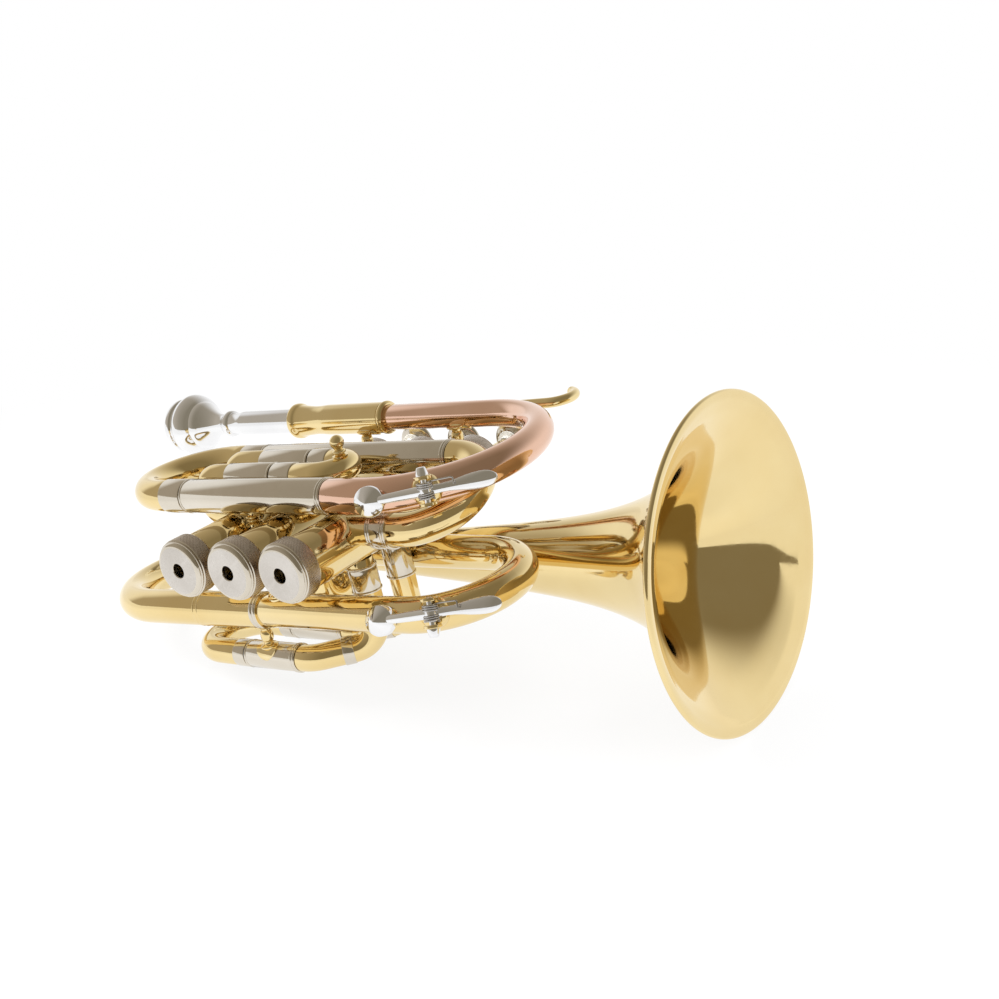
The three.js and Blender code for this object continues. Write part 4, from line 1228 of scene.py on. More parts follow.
@dataclass
class Slides:
    """The four slides, the bow into valve 3, and the tubes that lead to the slides.

    Attributes:
        crook_radius: Outer radius of the crooks.
        valve_tube: Outer radius of the valve slides' outer tubes.
        bow_start: Where the front bow starts on the upper tuning tube.
        bow_entry: Point of its other leg's axis beside casing 3's middle.
        bow_radius: Its outer radius.
        casing_space: Radius that is kept free of it in casing 3.
        knuckle_x: Where the first slide's knuckles turn.
        knuckle_bend: Bend radius of the knuckles.
        elbow_bends: Bend radii of the third slide's elbows.
    """

    crook_radius: float = 4.65
    valve_tube: float = 4.9
    bow_start: tuple[float, float, float] = (48.3, -15.8, 67.4)
    bow_entry: tuple[float, float, float] = (24, -3, 33)
    bow_radius: float = 5.65
    casing_space: float = 8.75
    knuckle_x: float = -39.4
    knuckle_bend: float = 7
    elbow_bends: tuple[float, float] = (9, 11)

    def build(self, bench: Bench) -> None:
        """Builds and dresses the slides.

        Args:
            bench: The bench.
        """
        self.tuning(bench)
        self.front_bow(bench)
        self.first(bench)
        self.second(bench)
        self.third(bench)

    def tuning(self, bench: Bench) -> None:
        """Builds the main tuning slide.

        Args:
            bench: The bench.
        """
        Slide(
            "main_tuning", Body.TUNING,
            ends=(Vector((-40.4, -16.5, 27.5)), Vector((-40.4, -15.8, 67.4))),
            starts=(Vector((27.3, -16.5, 27.5)), Vector((48.0, -15.8, 67.4))),
            radius=(6.05, 5.7), bow=5.6, bow_at=(14.7, 14.7), ferrules=(11.2, 11.2), engagement=34,
            nodes=("tuning_outer_lower", "tuning_outer_upper", "tuning_slide"),
        ).build(bench)

    def front_bow(self, bench: Bench) -> None:
        """Builds the bow from the upper tuning tube into valve 3, with its two bands.

        Args:
            bench: The bench.
        """
        start = Vector(self.bow_start)
        valve_x, entry_y, entry_z = self.bow_entry
        run = Run(start, FORWARD, self.bow_radius).ahead(0.2)
        run.return_to(Vector((start.x, entry_y, entry_z))).ahead(start.x - valve_x - 1)
        casing = Vector((valve_x, 0, entry_z))
        bow = bench.bored(bench.tube(run, sides=64), casing, self.casing_space, height=30)
        bench.lay(bow, "front_bow_bent", YELLOW, Body.FRAME, ["front_bow"])
        sleeve = [
            (6.0, 0.0), *ring(6.2, 0.1, 0.9, 0.28), *ring(6.2, 1.1, 0.9, 0.28), (6.25, 2.2), (6.25, 6.2),
            *ring(6.2, 6.35, 0.9, 0.28), *ring(6.2, 7.35, 0.9, 0.28), (6.0, 8.35),
        ]
        band = bench.band(Vector((38, entry_y, entry_z)), FORWARD, self.bow_radius - 0.03, sleeve)
        bench.lay(band, "front_bow_band", NICKEL, Body.FRAME, ["front_bow_sleeve"])

    def first(self, bench: Bench) -> None:
        """Builds the first valve slide, its knuckles and its pull knob.

        Args:
            bench: The bench.
        """
        y = -18.8
        rows = (("lower", 40.6, -31.4), ("upper", 54.8, -27.8))
        Slide(
            "first_valve", Body.FIRST,
            ends=(Vector((-9.4, y, 40.6)), Vector((-4.2, y, 54.8))),
            starts=(Vector((-31.4, y, 40.6)), Vector((-27.8, y, 54.8))),
            radius=(self.valve_tube, self.valve_tube), bow=self.crook_radius, bow_at=(18.0, 12.8),
            ferrules=(9.9, 8.6), engagement=17, ringed=False,
            nodes=("first_outer_lower", "first_outer_upper", "first_slide"),
        ).build(bench)
        for name, z, rear in rows:
            run = Run(Vector((rear - 0.1, y, z)), BACKWARD, self.crook_radius)
            run.ahead(rear - 0.1 - self.knuckle_x).bend(LEFT, math.pi, self.knuckle_bend).ahead(7)
            bench.lay(bench.tube(run), f"first_knuckle_bent_{name}", YELLOW, Body.FRAME,
                      [f"first_knuckle_{name}"])
        knob = [
            (0, -0.6), (2.7, -0.6), (2.7, -0.1), (1.6, 0.3), *ring(1.6, 0.5, 1.5, 0.75), (1.5, 2.15),
            *((2.5 * math.sin(math.radians(turn)), 4.55 - 2.5 * math.cos(math.radians(turn)))
              for turn in range(40, 171, 10)), (0, 7.05),
        ]
        knob_at = bench.at(Vector((15.7, y - self.crook_radius - 0.3, 47.7)), RIGHT)
        bench.lay(bench.turned(knob, sides=40, bevel=0, closed=False), "first_pull_ball", YELLOW, Body.FIRST,
                  ["first_pull_knob"], knob_at)

    def second(self, bench: Bench) -> None:
        """Builds the short second valve slide.

        Args:
            bench: The bench.
        """
        Slide(
            "second_valve", Body.SECOND,
            ends=(Vector((0, 17, 38)), Vector((0, 17, 52))),
            starts=(Vector((0, 8.6, 38)), Vector((0, 8.6, 52))),
            radius=(self.valve_tube, self.valve_tube), bow=self.crook_radius, bow_at=(2.3, 2.3),
            ferrules=(2.0, 2.0), engagement=7.2,
            nodes=("second_outer_lower", "second_outer_upper", "second_slide"),
        ).build(bench)

    def third(self, bench: Bench) -> None:
        """Builds the third valve slide and the elbows that carry it.

        Args:
            bench: The bench.
        """
        y = 40
        rows = (("lower", 36, 20.5, 11.0, 20.5), ("upper", 54, 44.5, 9.6, 22.4))
        Slide(
            "third_valve", Body.THIRD,
            ends=(Vector((-23, y, 20.5)), Vector((-23, y, 44.5))),
            starts=(Vector((1.4, y, 20.5)), Vector((1.4, y, 44.5))),
            radius=(self.valve_tube, self.valve_tube), bow=self.crook_radius, bow_at=(15.8, 15.8),
            ferrules=(6.1, 6.1), engagement=19,
            nodes=("third_outer_lower", "third_outer_upper", "third_slide"),
        ).build(bench)
        for name, port_z, z, sleeve_from, sleeve_to in rows:
            corners = [
                Vector((24, 8.6, port_z)), Vector((24, y, port_z)), Vector((6, y, z)),
                Vector((1.6, y, z)),
            ]
            run = run_through(corners, self.elbow_bends, self.crook_radius)
            bench.lay(bench.tube(run), f"third_elbow_bent_{name}", YELLOW, Body.FRAME,
                      [f"third_elbow_{name}"])
            radius = self.crook_radius
            slant = corners[1] - corners[2]
            cuff = [(radius + 0.2, 0), (radius + 0.28, 0.2), (radius + 0.28, 3.6), (radius + 0.2, 3.8)]
            bench.lay(bench.band(corners[2] + slant * 0.45, slant.normalized(), radius - 0.05, cuff),
                      f"third_elbow_cuff_{name}", NICKEL, Body.FRAME)
            length = sleeve_to - sleeve_from
            sleeve = [
                (radius + 0.1, 0), *ring(radius + 0.35, 0.05, 0.9, 0.3), (radius + 0.4, 1.1),
                (radius + 0.4, length - 1.1), *ring(radius + 0.35, length - 0.95, 0.9, 0.3),
                (radius + 0.1, length),
            ]
            band = bench.band(Vector((24, sleeve_from, port_z)), LEFT, radius - 0.05, sleeve)
            bench.lay(band, f"third_port_sleeve_{name}", NICKEL, Body.FRAME)


@dataclass
class BellSide:
    """The loop on the bell's side, the rear bow and the bell."""

    upper_y: float = 18.3
    upper_z: float = 65.6
    radius: float = 5.9
    low_radius: float = 6.2
    start_x: float = -27
    front: tuple[float, float, float] = (79.4, 19.3, 18.3)
    rear: tuple[float, float, float] = (-99.3, 24.8, 20)
    joint_x: float = -7.8
    bell_y: float = 26.9
    bell_z: float = 83
    stem_x: float = -30
    rim_x: float = 139
    rim_radius: float = 54.95
    wall: float = 0.8

    def build(self, bench: Bench) -> None:
        """Builds and dresses the loop, the bow and the bell.

        Args:
            bench: The bench.
        """
        front = Vector(self.front)
        rear = Vector(self.rear)
        joint = front.lerp(rear, (self.front[0] - self.joint_x) / (self.front[0] - self.rear[0]))
        heading = (front - rear).normalized()
        front_bend = math.hypot(self.upper_y - self.front[1], self.upper_z - self.front[2]) / 2 - SEAT
        corners = [
            Vector((self.start_x, 8.4, self.upper_z)), Vector((self.start_x, self.upper_y, self.upper_z)),
            Vector((self.front[0], self.upper_y, self.upper_z)), front, joint,
        ]
        loop = run_through(corners, [9, front_bend, front_bend], self.radius)
        bench.lay(bench.tube(loop, sides=64), "bell_side_loop", YELLOW, Body.FRAME, ["bell_loop"])
        rear_bend = math.hypot(self.bell_y - self.rear[1], self.bell_z - self.rear[2]) / 2 - SEAT
        corners = [
            joint, rear, Vector((self.rear[0], self.bell_y, self.bell_z)),
            Vector((self.stem_x, self.bell_y, self.bell_z)),
        ]
        bow = run_through(corners, [rear_bend, rear_bend], self.low_radius)
        bench.lay(bench.tube(bow, sides=64), "bell_rear_bow", YELLOW, Body.FRAME, ["rear_bow"])
        self.rings(bench, joint, heading)
        self.bell(bench)

    def rings(self, bench: Bench, joint: Vector, heading: Vector) -> None:
        """Puts the ring pairs round the lower leg and at the bell's joint.

        Args:
            bench: The bench.
            joint: Where the two tubes meet.
            heading: Direction of the leg toward the bell.
        """
        radius = self.low_radius
        start = joint - heading * 3.3
        outline = [
            (radius, -0.1), *ring(radius, 0.0, 1.5, 0.35), *ring(radius, 1.6, 1.5, 0.35), (radius, 3.2),
        ]
        pair = bench.band(start, heading, radius - 0.2, outline)
        bench.lay(pair, "loop_ring_pair", NICKEL, Body.FRAME)
        parts = []
        for x in (-40.6, -38.6):
            share = (self.front[0] - x) / (self.front[0] - self.rear[0])
            spot = Vector(self.front).lerp(Vector(self.rear), share)
            parts.append(bench.band(spot, heading, radius - 0.2, ring(radius, 0, 0.7, 0.14)))
        stem = Vector((self.stem_x - 5, self.bell_y, self.bell_z))
        outline = [*ring(6.45, 0, 1.3, 0.45), (6.5, 1.6), (6.5, 7.4), *ring(6.45, 7.6, 1.3, 0.45)]
        parts.append(bench.band(stem, FORWARD, radius - 0.2, outline))
        bench.lay(bench.joined(parts), "loop_fine_rings", YELLOW, Body.FRAME)

    def bell(self, bench: Bench) -> None:
        """Spins the bell: a long throat, a wide flare and a rim rolled over a wire.

        Args:
            bench: The bench.
        """
        length = self.rim_x - self.stem_x
        shares = [
            (0.0, 0.121), (0.08, 0.128), (0.18, 0.145), (0.36, 0.182), (0.52, 0.222), (0.66, 0.274),
            (0.76, 0.34), (0.84, 0.431), (0.9, 0.545), (0.95, 0.702), (0.983, 0.87), (0.9945, 0.955),
        ]
        outer = eased([(r * self.rim_radius, a * length) for a, r in shares], 7)
        inner = [(r - self.wall, a) for r, a in outer]
        bead = 0.95
        centre = (self.rim_radius - bead, length - bead)
        rolled = [
            (centre[0] + bead * math.cos(turn), centre[1] + bead * math.sin(turn))
            for turn in (math.radians(-100 + 24 * i) for i in range(9))
        ]
        mouth = [(r, min(a + 0.35, length - 0.45)) for r, a in inner[::-1]]
        outline = [*outer, *rolled, *[p for p in mouth if p[1] > 0.4], (inner[0][0], 0.0)]
        bench.lay(bench.turned(outline, sides=160, bevel=0), "flared_bell", YELLOW, Body.FRAME, ["bell"],
                  bench.at(Vector((self.stem_x, self.bell_y, self.bell_z)), FORWARD), sharp=60)


@dataclass
class Braces:
    """Turned posts with flanges between the tubes, and the ball post."""

    flange: float = 3.2
    post: float = 1.45
    ball: float = 2.25

    def post_outline(self, length: float) -> list[tuple[float, float]]:
        """Outline of a post with a flange at both ends and a bead in the middle.

        Args:
            length: Length between the seats.

        Returns:
            The outline.
        """
        middle = length / 2
        half = min(2.1, middle - 1.6)
        bead = [
            (self.post + (self.ball - self.post) * math.sin(math.pi * i / 10),
             middle - half * math.cos(math.pi * i / 10))
            for i in range(11)
        ]
        foot = [(self.flange, 0), (self.flange, 0.45), (self.flange - 0.7, 0.9), (self.post + 0.25, 1.25)]
        head = [(r, length - a) for r, a in foot[::-1]]
        return [(0, 0), *foot, *bead, *head, (0, length)]

    def build(self, bench: Bench) -> None:
        """Builds and dresses the posts.

        Args:
            bench: The bench.
        """
        posts = (
            ("receiver_brace", (-18, -8.9, 97.5), RIGHT, 7.6, (-18, -20, 102), 5.9, -0.5, 3.2, 5.2),
            ("leadpipe_brace", (26, -8.9, 97.5), RIGHT, 8.3, (26, -20, 102), 4.8, -0.5, 2.7, 5.0),
            ("bell_brace", (24, 8.9, 80), LEFT, 9.3, (24, 26.9, 83), 9.2, -0.35, 4.0, 4.5),
            ("loop_brace", (0, 8.9, 19.1), LEFT, 7.1, (0, 21.8, 19.1), 6.0, 0, 3.6, 4.2),
            ("third_brace", (-12, 27.6, 19.2), LEFT, 8.2, (-12, 40, 20.5), 4.9, -0.7, 3.9, 4.6),
        )
        for name, start, axis, length, spot, radius, lean, reach, half in posts:
            post = bench.turned(self.post_outline(length), sides=48, bevel=0.05, closed=False)
            post = bench.placed(post, Vector(start), axis)
            foot = bench.plate(Vector(spot), radius, UP * lean - axis, reach, half)
            bench.lay(bench.joined([post, foot]), f"{name}_turned", YELLOW, Body.FRAME, [name])
        stack = [
            (0, 0), (3.1, 0), (3.0, 0.7), (1.6, 1.1), *ring(1.5, 1.2, 1.1, 0.8), *ring(1.5, 2.4, 1.2, 1.0),
            (1.7, 3.7), (3.0, 4.2), (3.1, 5.1), (0, 5.1),
        ]
        post = bench.placed(
            bench.turned(stack, sides=40, bevel=0, closed=False), Vector((-12, -6.2, 27.5)), RIGHT)
        foot = bench.plate(Vector((-12, -16.5, 27.5)), 6.05, LEFT, 3.4, 5.0)
        bench.lay(bench.joined([post, foot]), "ball_post_turned", YELLOW, Body.FRAME, ["ball_post"])


@dataclass
class Hook:
    """Little-finger hook on the leadpipe."""

    start_x: float = 34
    reach_x: float = 58
    radius: float = 1.85
    curl: float = 7
    rise: float = 2.5
    turn: float = 150
    end_steps: int = 6
    least: float = 0.05

    def build(self, bench: Bench) -> None:
        """Bends the hook and rounds both ends.

        Args:
            bench: The bench.
        """
        start = Vector((self.start_x, -20, 109.05))
        heading = Vector((self.reach_x - self.start_x, 0, self.rise)).normalized()
        run = Run(start, heading, self.least)
        turns = [math.pi / 2 * i / self.end_steps for i in range(self.end_steps + 1)]
        for before, turn in zip(turns, turns[1:]):
            run.radius = self.radius * math.sin(turn)
            run.ahead(self.radius * (math.cos(before) - math.cos(turn)))
        run.ahead(self.reach_x - self.start_x - self.radius)
        run.bend(UP, math.radians(self.turn), self.curl)
        for before, turn in zip(turns, turns[1:]):
            run.radius = max(self.least, self.radius * math.cos(turn))
            run.ahead(self.radius * (math.sin(turn) - math.sin(before)) * 0.5)
        hook = bench.tube(run, None, sides=32)
        foot = bench.placed(
            bench.turned([(0, 0), (2.9, 0), (2.7, 0.5), (1.9, 1.1), (1.5, 2.0), (0, 2.0)], sides=32, bevel=0,
                         closed=False),
            Vector((self.start_x + 5, -20, 106.7)), UP)
        bench.lay(bench.joined([hook, foot]), "finger_hook_bent", YELLOW, Body.FRAME, ["finger_hook"])


@dataclass
class WaterKey:
    """A water key: lever with spoon and cork cup, saddle, pivot screw and coil spring.

    Attributes:
        name: Upper or lower.
        body: The lever's body.
        centre: Centre of the bow that it sits on.
        bow: Radius of the bow's axis.
        tube: Outer radius of the bow.
        angle: Place on the bow, in degrees from straight down.
        slope: Slope of the lever in degrees.
        roll: Turn about the tube in degrees.
        seat: Height of the lever over the tube at the cup.
        head: Side of the pivot screw's head, 1 for the player's left and -1 for the right.
        lift: Height of the pivot over the tube.
        cup_reach: Distance from the pivot to the cork cup.
        spoon_bend: Bend of the spoon in degrees.
        wire: Radius of the spring's wire.
        spring_turns: Turns of each coil.
        steps_a_turn: Steps in a turn.
    """

    name: str
    body: Body
    centre: Vector
    bow: float
    tube: float
    angle: float
    slope: float
    roll: float
    seat: float
    head: int = 1
    lift: float = 3.6
    cup_reach: float = 19
    spoon_bend: float = 13
    wire: float = 0.28
    spring_turns: int = 3
    steps_a_turn: int = 16

    def build(self, bench: Bench) -> None:
        """Builds and dresses the key.

        Args:
            bench: The bench.
        """
        angle = math.radians(self.angle)
        along = Vector((math.cos(angle), 0, math.sin(angle)))
        outside = Vector((math.sin(angle), 0, -math.cos(angle)))
        lean = Quaternion(along, math.radians(-self.roll))
        outward = lean @ outside
        across = lean @ LEFT
        chord = Quaternion(across, angle - math.radians(self.slope)) @ along
        below = across.cross(chord)
        axis_spot = self.centre + outside * self.bow
        pivot = axis_spot + outward * (self.tube + self.lift)
        self.lever(bench, pivot, chord, across, below)
        self.saddle(bench, pivot, axis_spot, outward, across)
        self.spring(bench, pivot, chord, across, below)

    def lever(self, bench: Bench, pivot: Vector, chord: Vector, across: Vector, below: Vector) -> None:
        """Builds the lever: bar, teardrop spoon, barrel and cork cup.

        Args:
            bench: The bench.
            pivot: The pivot.
            chord: Direction from the cup to the spoon.
            across: The pivot's axis.
            below: Away from the tube.
        """
        arm = Run(pivot - chord * (self.cup_reach - 1.5), chord, 1.2)
        for reach, radius in ((4, 1.5), (7, 1.7), (4.5, 1.8), (2, 1.85)):
            self.taper(arm, reach, radius)
        bar = self.flattened(bench, arm, pivot, chord, across, 0.85)
        spoon_way = Quaternion(across, math.radians(-self.spoon_bend)) @ chord
        blade = Run(pivot, spoon_way, 1.6)
        widths = (
            (2.5, 1.5), (2.5, 1.4), (2.5, 1.5), (2.5, 1.85), (2.5, 2.3), (2.5, 2.6), (2.2, 2.7),
            (1.8, 2.6), (1.4, 2.25), (1.1, 1.7), (0.8, 1.0), (0.3, 0.25),
        )
        for reach, radius in widths:
            self.taper(blade, reach, radius)
        spoon = self.flattened(bench, blade, pivot, spoon_way, across, 0.42)
        barrel = bench.placed(
            bench.turned([(1.05, -2.6), (2.05, -2.6), (2.05, 2.6), (1.05, 2.6)], sides=32, bevel=0.1),
            pivot, across)
        cup_base = -(self.seat - 1.2)
        cone = [
            (0, cup_base + 0.5), (4.1, cup_base + 0.5), (4.1, cup_base), (4.7, cup_base),
            (4.95, cup_base + 0.35), (4.95, -0.2), (4.8, 0.1), (0.4, 3.3), (0, 3.45),
        ]
        cup_spot = pivot - chord * self.cup_reach
        cup = bench.placed(bench.turned(cone, sides=48, bevel=0, closed=False), cup_spot, below)
        bench.lay(bench.joined([bar, spoon, barrel, cup]), f"{self.name}_key_lever_forged", SILVER, self.body,
                  [f"{self.name}_key_lever"], sharp=35)
        cork = [(0, -self.seat + 0.25), (3.5, -self.seat + 0.25), (3.8, -self.seat + 0.5),
                (3.8, cup_base + 0.45), (0, cup_base + 0.45)]
        bench.lay(bench.turned(cork, sides=36, bevel=0, closed=False), f"{self.name}_key_cork", CORK,
                  self.body, (), bench.at(cup_spot, below))

    @staticmethod
    def taper(run: Run, length: float, radius: float) -> None:
        """Goes ahead on a run to a new radius."""
        run.radius = radius
        run.ahead(length)

    @staticmethod
    def flattened(
        bench: Bench, run: Run, pivot: Vector, way: Vector, across: Vector, share: float
    ) -> bpy.types.Object:
        """Draws a rod along a run and hammers it flat.

        Args:
            bench: The bench.
            run: The run.
            pivot: The centre of the flattening.
            way: The bar's direction.
            across: The direction that keeps its width.
            share: Thickness that is left.

        Returns:
            The bar.
        """
        piece = bench.tube(run, None, sides=24)
        normal = way.cross(across)
        basis = Matrix((way, across, normal)).transposed().to_4x4()
        squeeze = Matrix.Diagonal((1, 1, share, 1))
        piece.data.transform(
            Matrix.Translation(pivot) @ basis @ squeeze @ basis.inverted() @ Matrix.Translation(-pivot)
        )
        return piece

    def saddle(self, bench: Bench, pivot: Vector, spot: Vector, outward: Vector, across: Vector) -> None:
        """Builds the saddle: a domed foot, two cheeks and the pivot screw.

        Args:
            bench: The bench.
            pivot: The pivot.
            spot: The tube's axis under the pivot.
            outward: Away from the tube.
            across: The pivot's axis.
        """
        rise = self.tube
        foot = bench.placed(
            bench.turned(
                [(0, rise - 2.2), (5.1, rise - 2.2), (5.0, rise - 0.9), (4.2, rise + 0.3), (2.6, rise + 0.75),
                 (0, rise + 0.8)], sides=48, bevel=0.1, closed=False),
            spot, outward)
        parts = [foot]
        for side in (-4.7, 3.6):
            cheek = [(0, 0), (2.7, 0), (2.9, 0.2), (2.9, 0.9), (2.7, 1.1), (0, 1.1)]
            parts.append(bench.placed(bench.turned(cheek, sides=36, bevel=0, closed=False),
                                      pivot + across * side, across))
        bench.lay(bench.joined(parts), f"{self.name}_saddle_soldered", YELLOW, Body.FRAME,
                  [f"{self.name}_key_saddle"])
        screw = [
            (0, -5.1), (0.7, -5.0), (1.0, -4.7), (1.0, 4.6), (2.15, 4.7), (2.2, 5.0), (1.55, 7.0),
            (1.35, 7.35), (0.9, 7.5), (0, 7.5),
        ]
        bench.lay(bench.turned(screw, sides=32, bevel=0, closed=False), f"{self.name}_pivot_screw", SILVER,
                  Body.FRAME, (), bench.at(pivot, across * self.head))

    def spring(self, bench: Bench, pivot: Vector, chord: Vector, across: Vector, below: Vector) -> None:
        """Winds the coil spring round the barrel, with its long loop under the spoon.

        Args:
            bench: The bench.
            pivot: The pivot.
            chord: Direction from the cup to the spoon.
            across: The pivot's axis.
            below: Away from the tube.
        """
        parts = []
        for side in (-1, 1):
            run = Run(pivot, below, self.wire)
            run.stations.clear()
            for i in range(self.spring_turns * self.steps_a_turn + 1):
                turn = 2 * math.pi * i / self.steps_a_turn
                run.spot = (
                    pivot + across * (side * (0.75 + 0.66 * turn / (2 * math.pi)))
                    + chord * 2.4 * math.cos(turn) + below * 2.4 * math.sin(turn)
                )
                run.mark()
            parts.append(bench.tube(run, None, sides=10))
        loop = Run(pivot + across * -2.73 + chord * 2.4, chord - below * 0.05, self.wire)
        loop.ahead(6.2).bend(across, math.pi / 2, 0.7).ahead(1.6)
        parts.append(bench.tube(loop, None, sides=10))
        bench.lay(bench.joined(parts), f"{self.name}_key_spring", STEEL, Body.FRAME)


@dataclass
class Studio:
    """Camera, floor, lamps and the room that the metal mirrors.

    Attributes:
        focal: The camera's lens in millimetres.
        camera_at: Where the camera stands.
        right: The picture's right.
        view: Where the camera looks.
        backdrop: Share of plain white in the floor near the instrument, where its shadow shows.
        fade: Distances in metres between which the floor turns plain white.
        left_tone: Wall of the mirrored room at the mouthpiece's end.
        right_tone: Wall of that room at the bell's end.
        tone_span: Shares of the way to the bell between which one tone turns into the other.
        behind: Angles round the instrument's length between which the room grows bright.
        sky: Tone of the backdrop as diffuse light.
        left_window: Direction of a window.
        window_edge: Shares of that direction at which the window starts and is full.
        window_power: Its brightness.
        room_radius: Radius of the room in metres.
        room_floor: Height of its lower edge in metres.
    """

    focal: float = 52.25
    camera_at: tuple[float, float, float] = (354.7, -137.7, -290.8)
    right: tuple[float, float, float] = (0.796, 0.213, 0.567)
    view: tuple[float, float, float] = (-0.605, 0.285, 0.743)
    backdrop: float = 0.86
    fade: tuple[float, float] = (0.16, 0.42)
    left_tone: tuple[float, float, float] = (0.46, 0.41, 0.34)
    right_tone: tuple[float, float, float] = (0.25, 0.22, 0.165)
    tone_span: tuple[float, float] = (-0.6, 0.4)
    behind: tuple[float, float] = (1.6, 2.7)
    sky: tuple[float, float, float] = (0.62, 0.63, 0.65)
    left_window: tuple[float, float, float] = (-0.95, 0.25, 0.15)
    window_edge: tuple[float, float] = (0.87, 0.98)
    window_power: float = 0.95
    room_radius: float = 2.5
    room_floor: float = 0.2

    def build(self, bench: Bench) -> None:
        """Builds the studio.

        Args:
            bench: The bench.
        """
        bpy.context.scene.view_settings.view_transform = "Standard"
        self.camera(bench)
        self.floor()
        self.world()
        self.lamps()
        self.dark_room(bench)

    def camera(self, bench: Bench) -> None:
        """Stands the camera where the photograph was taken.

        Args:
            bench: The bench.
        """
        turn = bench.place.to_3x3().normalized()
        view = (turn @ Vector(self.view)).normalized()
        right = (turn @ Vector(self.right)).normalized()
        right = (right - view * right.dot(view)).normalized()
        up = right.cross(view)
        data = bpy.data.cameras.new("photo_camera")
        data.lens = self.focal
        data.sensor_width = 36
        data.clip_start = 0.01
        camera = bpy.data.objects.new("photo_camera", data)
        bpy.context.scene.collection.objects.link(camera)
        basis = Matrix((right, up, -view)).transposed().to_4x4()
        camera.matrix_world = Matrix.Translation(bench.place @ Vector(self.camera_at)) @ basis
        bpy.context.scene.camera = camera

    def floor(self) -> None:
        """Lays a pale floor that keeps a soft shadow."""
        bpy.ops.object.select_all(action="DESELECT")
        bpy.ops.mesh.primitive_plane_add(size=12)
        floor = bpy.context.object
        floor.name = "pale_floor"
        material, nodes, shader = new_material("pale_floor")
        shader.inputs["Base Color"].default_value = (0.97, 0.97, 0.97, 1)
        shader.inputs["Roughness"].default_value = 0.9
        shader.inputs["Specular IOR Level"].default_value = 0.1
        white = nodes.add("ShaderNodeEmission", {"Color": (1, 1, 1, 1), "Strength": 1.0})
        spot = nodes.add("ShaderNodeNewGeometry").outputs["Position"]
        away = nodes.add("ShaderNodeVectorMath", {0: spot}, operation="LENGTH").outputs["Value"]
        faded = nodes.ranged(away, *self.fade, self.backdrop, 1.0, smooth=True)
        share = nodes.math("MULTIPLY", self.seen_directly(nodes), faded)
        mix = nodes.add("ShaderNodeMixShader", {0: share, 1: shader.outputs[0], 2: white.outputs[0]})
        out = material.node_tree.nodes["Material Output"]
        material.node_tree.links.new(mix.outputs[0], out.inputs["Surface"])
        floor.data.materials.append(material)

    @staticmethod
    def seen_directly(nodes: Nodes) -> bpy.types.NodeSocket:
        """Mask of the rays that see the backdrop: camera, mirror and glass rays.

        Args:
            nodes: The tree to add to.

        Returns:
            The mask's socket.
        """
        rays = nodes.add("ShaderNodeLightPath").outputs
        return nodes.math(
            "MAXIMUM", rays["Is Camera Ray"],
            nodes.math("MAXIMUM", rays["Is Glossy Ray"], rays["Is Transmission Ray"]),
        )

    def dark_room(self, bench: Bench) -> None:
        """Hangs the room that the metal mirrors, dark above, bright behind and at the left end.

        Args:
            bench: The bench.
        """
        bpy.ops.object.select_all(action="DESELECT")
        bpy.ops.mesh.primitive_uv_sphere_add(
            segments=64, ring_count=32, radius=self.room_radius, enter_editmode=True)
        room = bpy.context.object
        room.name = "studio_room"
        bpy.ops.mesh.select_all(action="SELECT")
        bpy.ops.mesh.bisect(plane_co=(0, 0, self.room_floor), plane_no=(0, 0, -1), clear_outer=True)
        bpy.ops.object.mode_set(mode="OBJECT")
        material, nodes, _ = new_material("studio_room")
        spot = nodes.add("ShaderNodeNewGeometry").outputs["Position"]
        way = nodes.add("ShaderNodeVectorMath", {0: spot}, operation="NORMALIZE").outputs["Vector"]
        turn = bench.place.to_3x3().normalized()
        axis = turn @ FORWARD
        front = -(turn @ Vector(self.view))
        front = (front - axis * front.dot(axis)).normalized()
        over = front.cross(axis)
        angle = nodes.math("ARCTAN2", nodes.aimed(way, over), nodes.aimed(way, front))
        window = nodes.aimed(way, Vector(self.left_window).normalized())
        light = nodes.math(
            "MAXIMUM", nodes.ranged(angle, *self.behind, smooth=True),
            nodes.ranged(window, *self.window_edge, 0.0, self.window_power, smooth=True),
        )
        rightward = nodes.ranged(nodes.aimed(way, axis), *self.tone_span)
        tone = nodes.mix(light, nodes.mix(rightward, self.left_tone, self.right_tone), (1.0, 1.0, 1.0))
        glow = nodes.add("ShaderNodeEmission", {"Color": tone, "Strength": 1.0})
        out = material.node_tree.nodes["Material Output"]
        material.node_tree.links.new(glow.outputs[0], out.inputs["Surface"])
        room.data.materials.append(material)
        for ray in ("camera", "diffuse", "transmission", "volume_scatter", "shadow"):
            setattr(room, f"visible_{ray}", False)

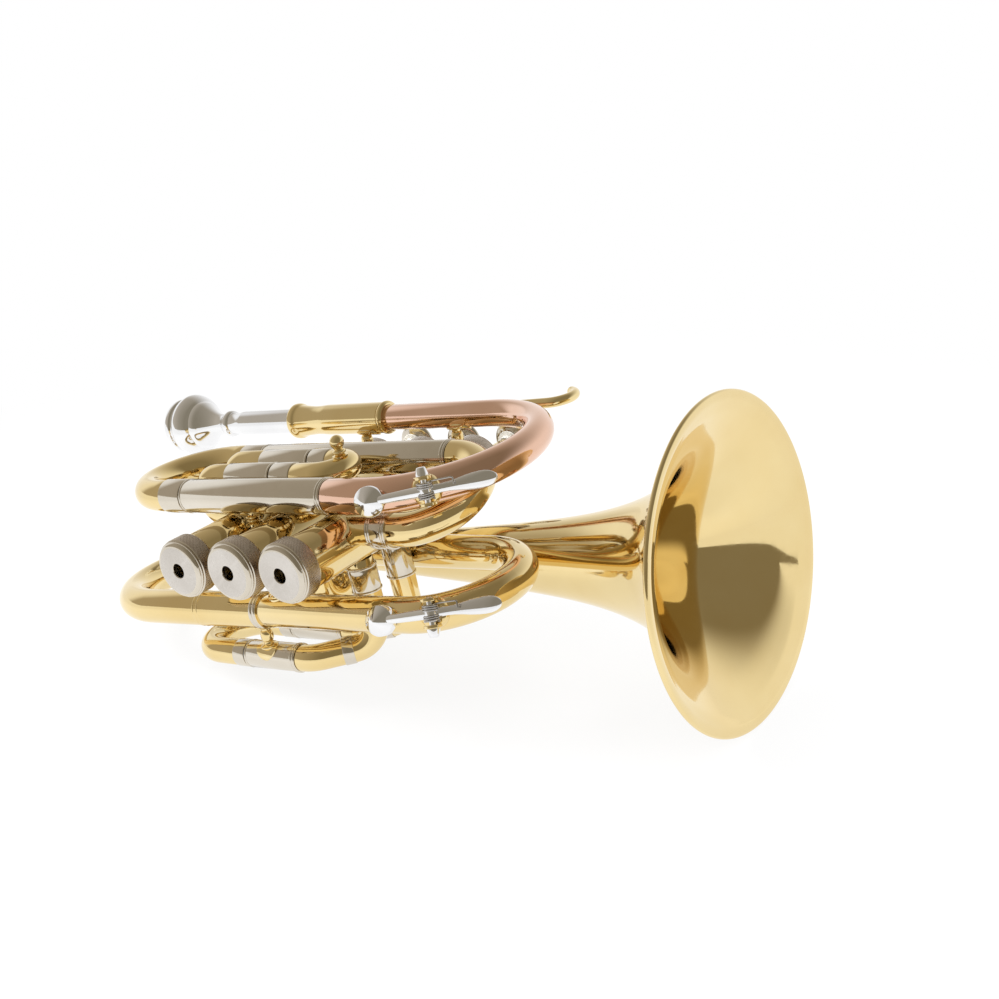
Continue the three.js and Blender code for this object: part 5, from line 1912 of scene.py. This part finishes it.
    def world(self) -> None:
        """Lights the room softly; camera, mirror and glass rays see a white backdrop."""
        world = bpy.data.worlds.new("soft_studio")
        bpy.context.scene.world = world
        world.use_nodes = True
        nodes = Nodes(world.node_tree)
        background = world.node_tree.nodes["Background"]
        tone = nodes.mix(self.seen_directly(nodes), self.sky, (1, 1, 1))
        world.node_tree.links.new(tone, background.inputs["Color"])

    def lamps(self) -> None:
        """Hangs the soft lamps."""
        rows = (
            ("key_lamp", (-0.55, -0.35, 0.75), 0.6, 9.0),
            ("fill_lamp", (0.7, -0.6, 0.6), 0.8, 5.0),
            ("top_lamp", (0.0, 0.5, 0.9), 0.8, 5.0),
        )
        for name, spot, size, power in rows:
            data = bpy.data.lights.new(name, "AREA")
            data.shape = "SQUARE"
            data.size = size
            data.energy = power
            lamp = bpy.data.objects.new(name, data)
            lamp.visible_glossy = False
            bpy.context.scene.collection.objects.link(lamp)
            place = Vector(spot)
            aim = (Vector((0, 0, 0.05)) - place).to_track_quat("-Z", "Y")
            lamp.matrix_world = Matrix.Translation(place) @ aim.to_matrix().to_4x4()


def main() -> None:
    """Builds the studio and every sub-assembly, in order."""
    logging.basicConfig(level=logging.INFO, format="%(name)s: %(message)s")
    GROUPS.update(patina=patina_group(), edges=edge_group(), hairlines=hairline_group(), knurl=knurl_group())
    bench = Bench()
    lead, bell_side = Lead(), BellSide()
    front_x, front_y, front_z = bell_side.front
    lead_bow = (lead.z - lead.low_z) / 2
    loop_bow = (bell_side.upper_z - front_z) / 2
    lead_centre = Vector((lead.bow_x, lead.low_y, lead.low_z + lead_bow))
    loop_centre = Vector((front_x - loop_bow, front_y, front_z + loop_bow))
    keys = (
        WaterKey("upper", Body.UPPER_KEY, lead_centre, lead_bow, tube=6.1, angle=36, slope=23, roll=12,
                 seat=3.15, head=-1),
        WaterKey("lower", Body.LOWER_KEY, loop_centre, loop_bow, tube=5.95, angle=28, slope=12, roll=20,
                 seat=4.2),
    )
    for part in (Studio(), Valves(), lead, Slides(), bell_side, Braces(), Hook(), *keys):
        log.info("building %s", type(part).__name__)
        part.build(bench)


if __name__ == "__main__":
    main()
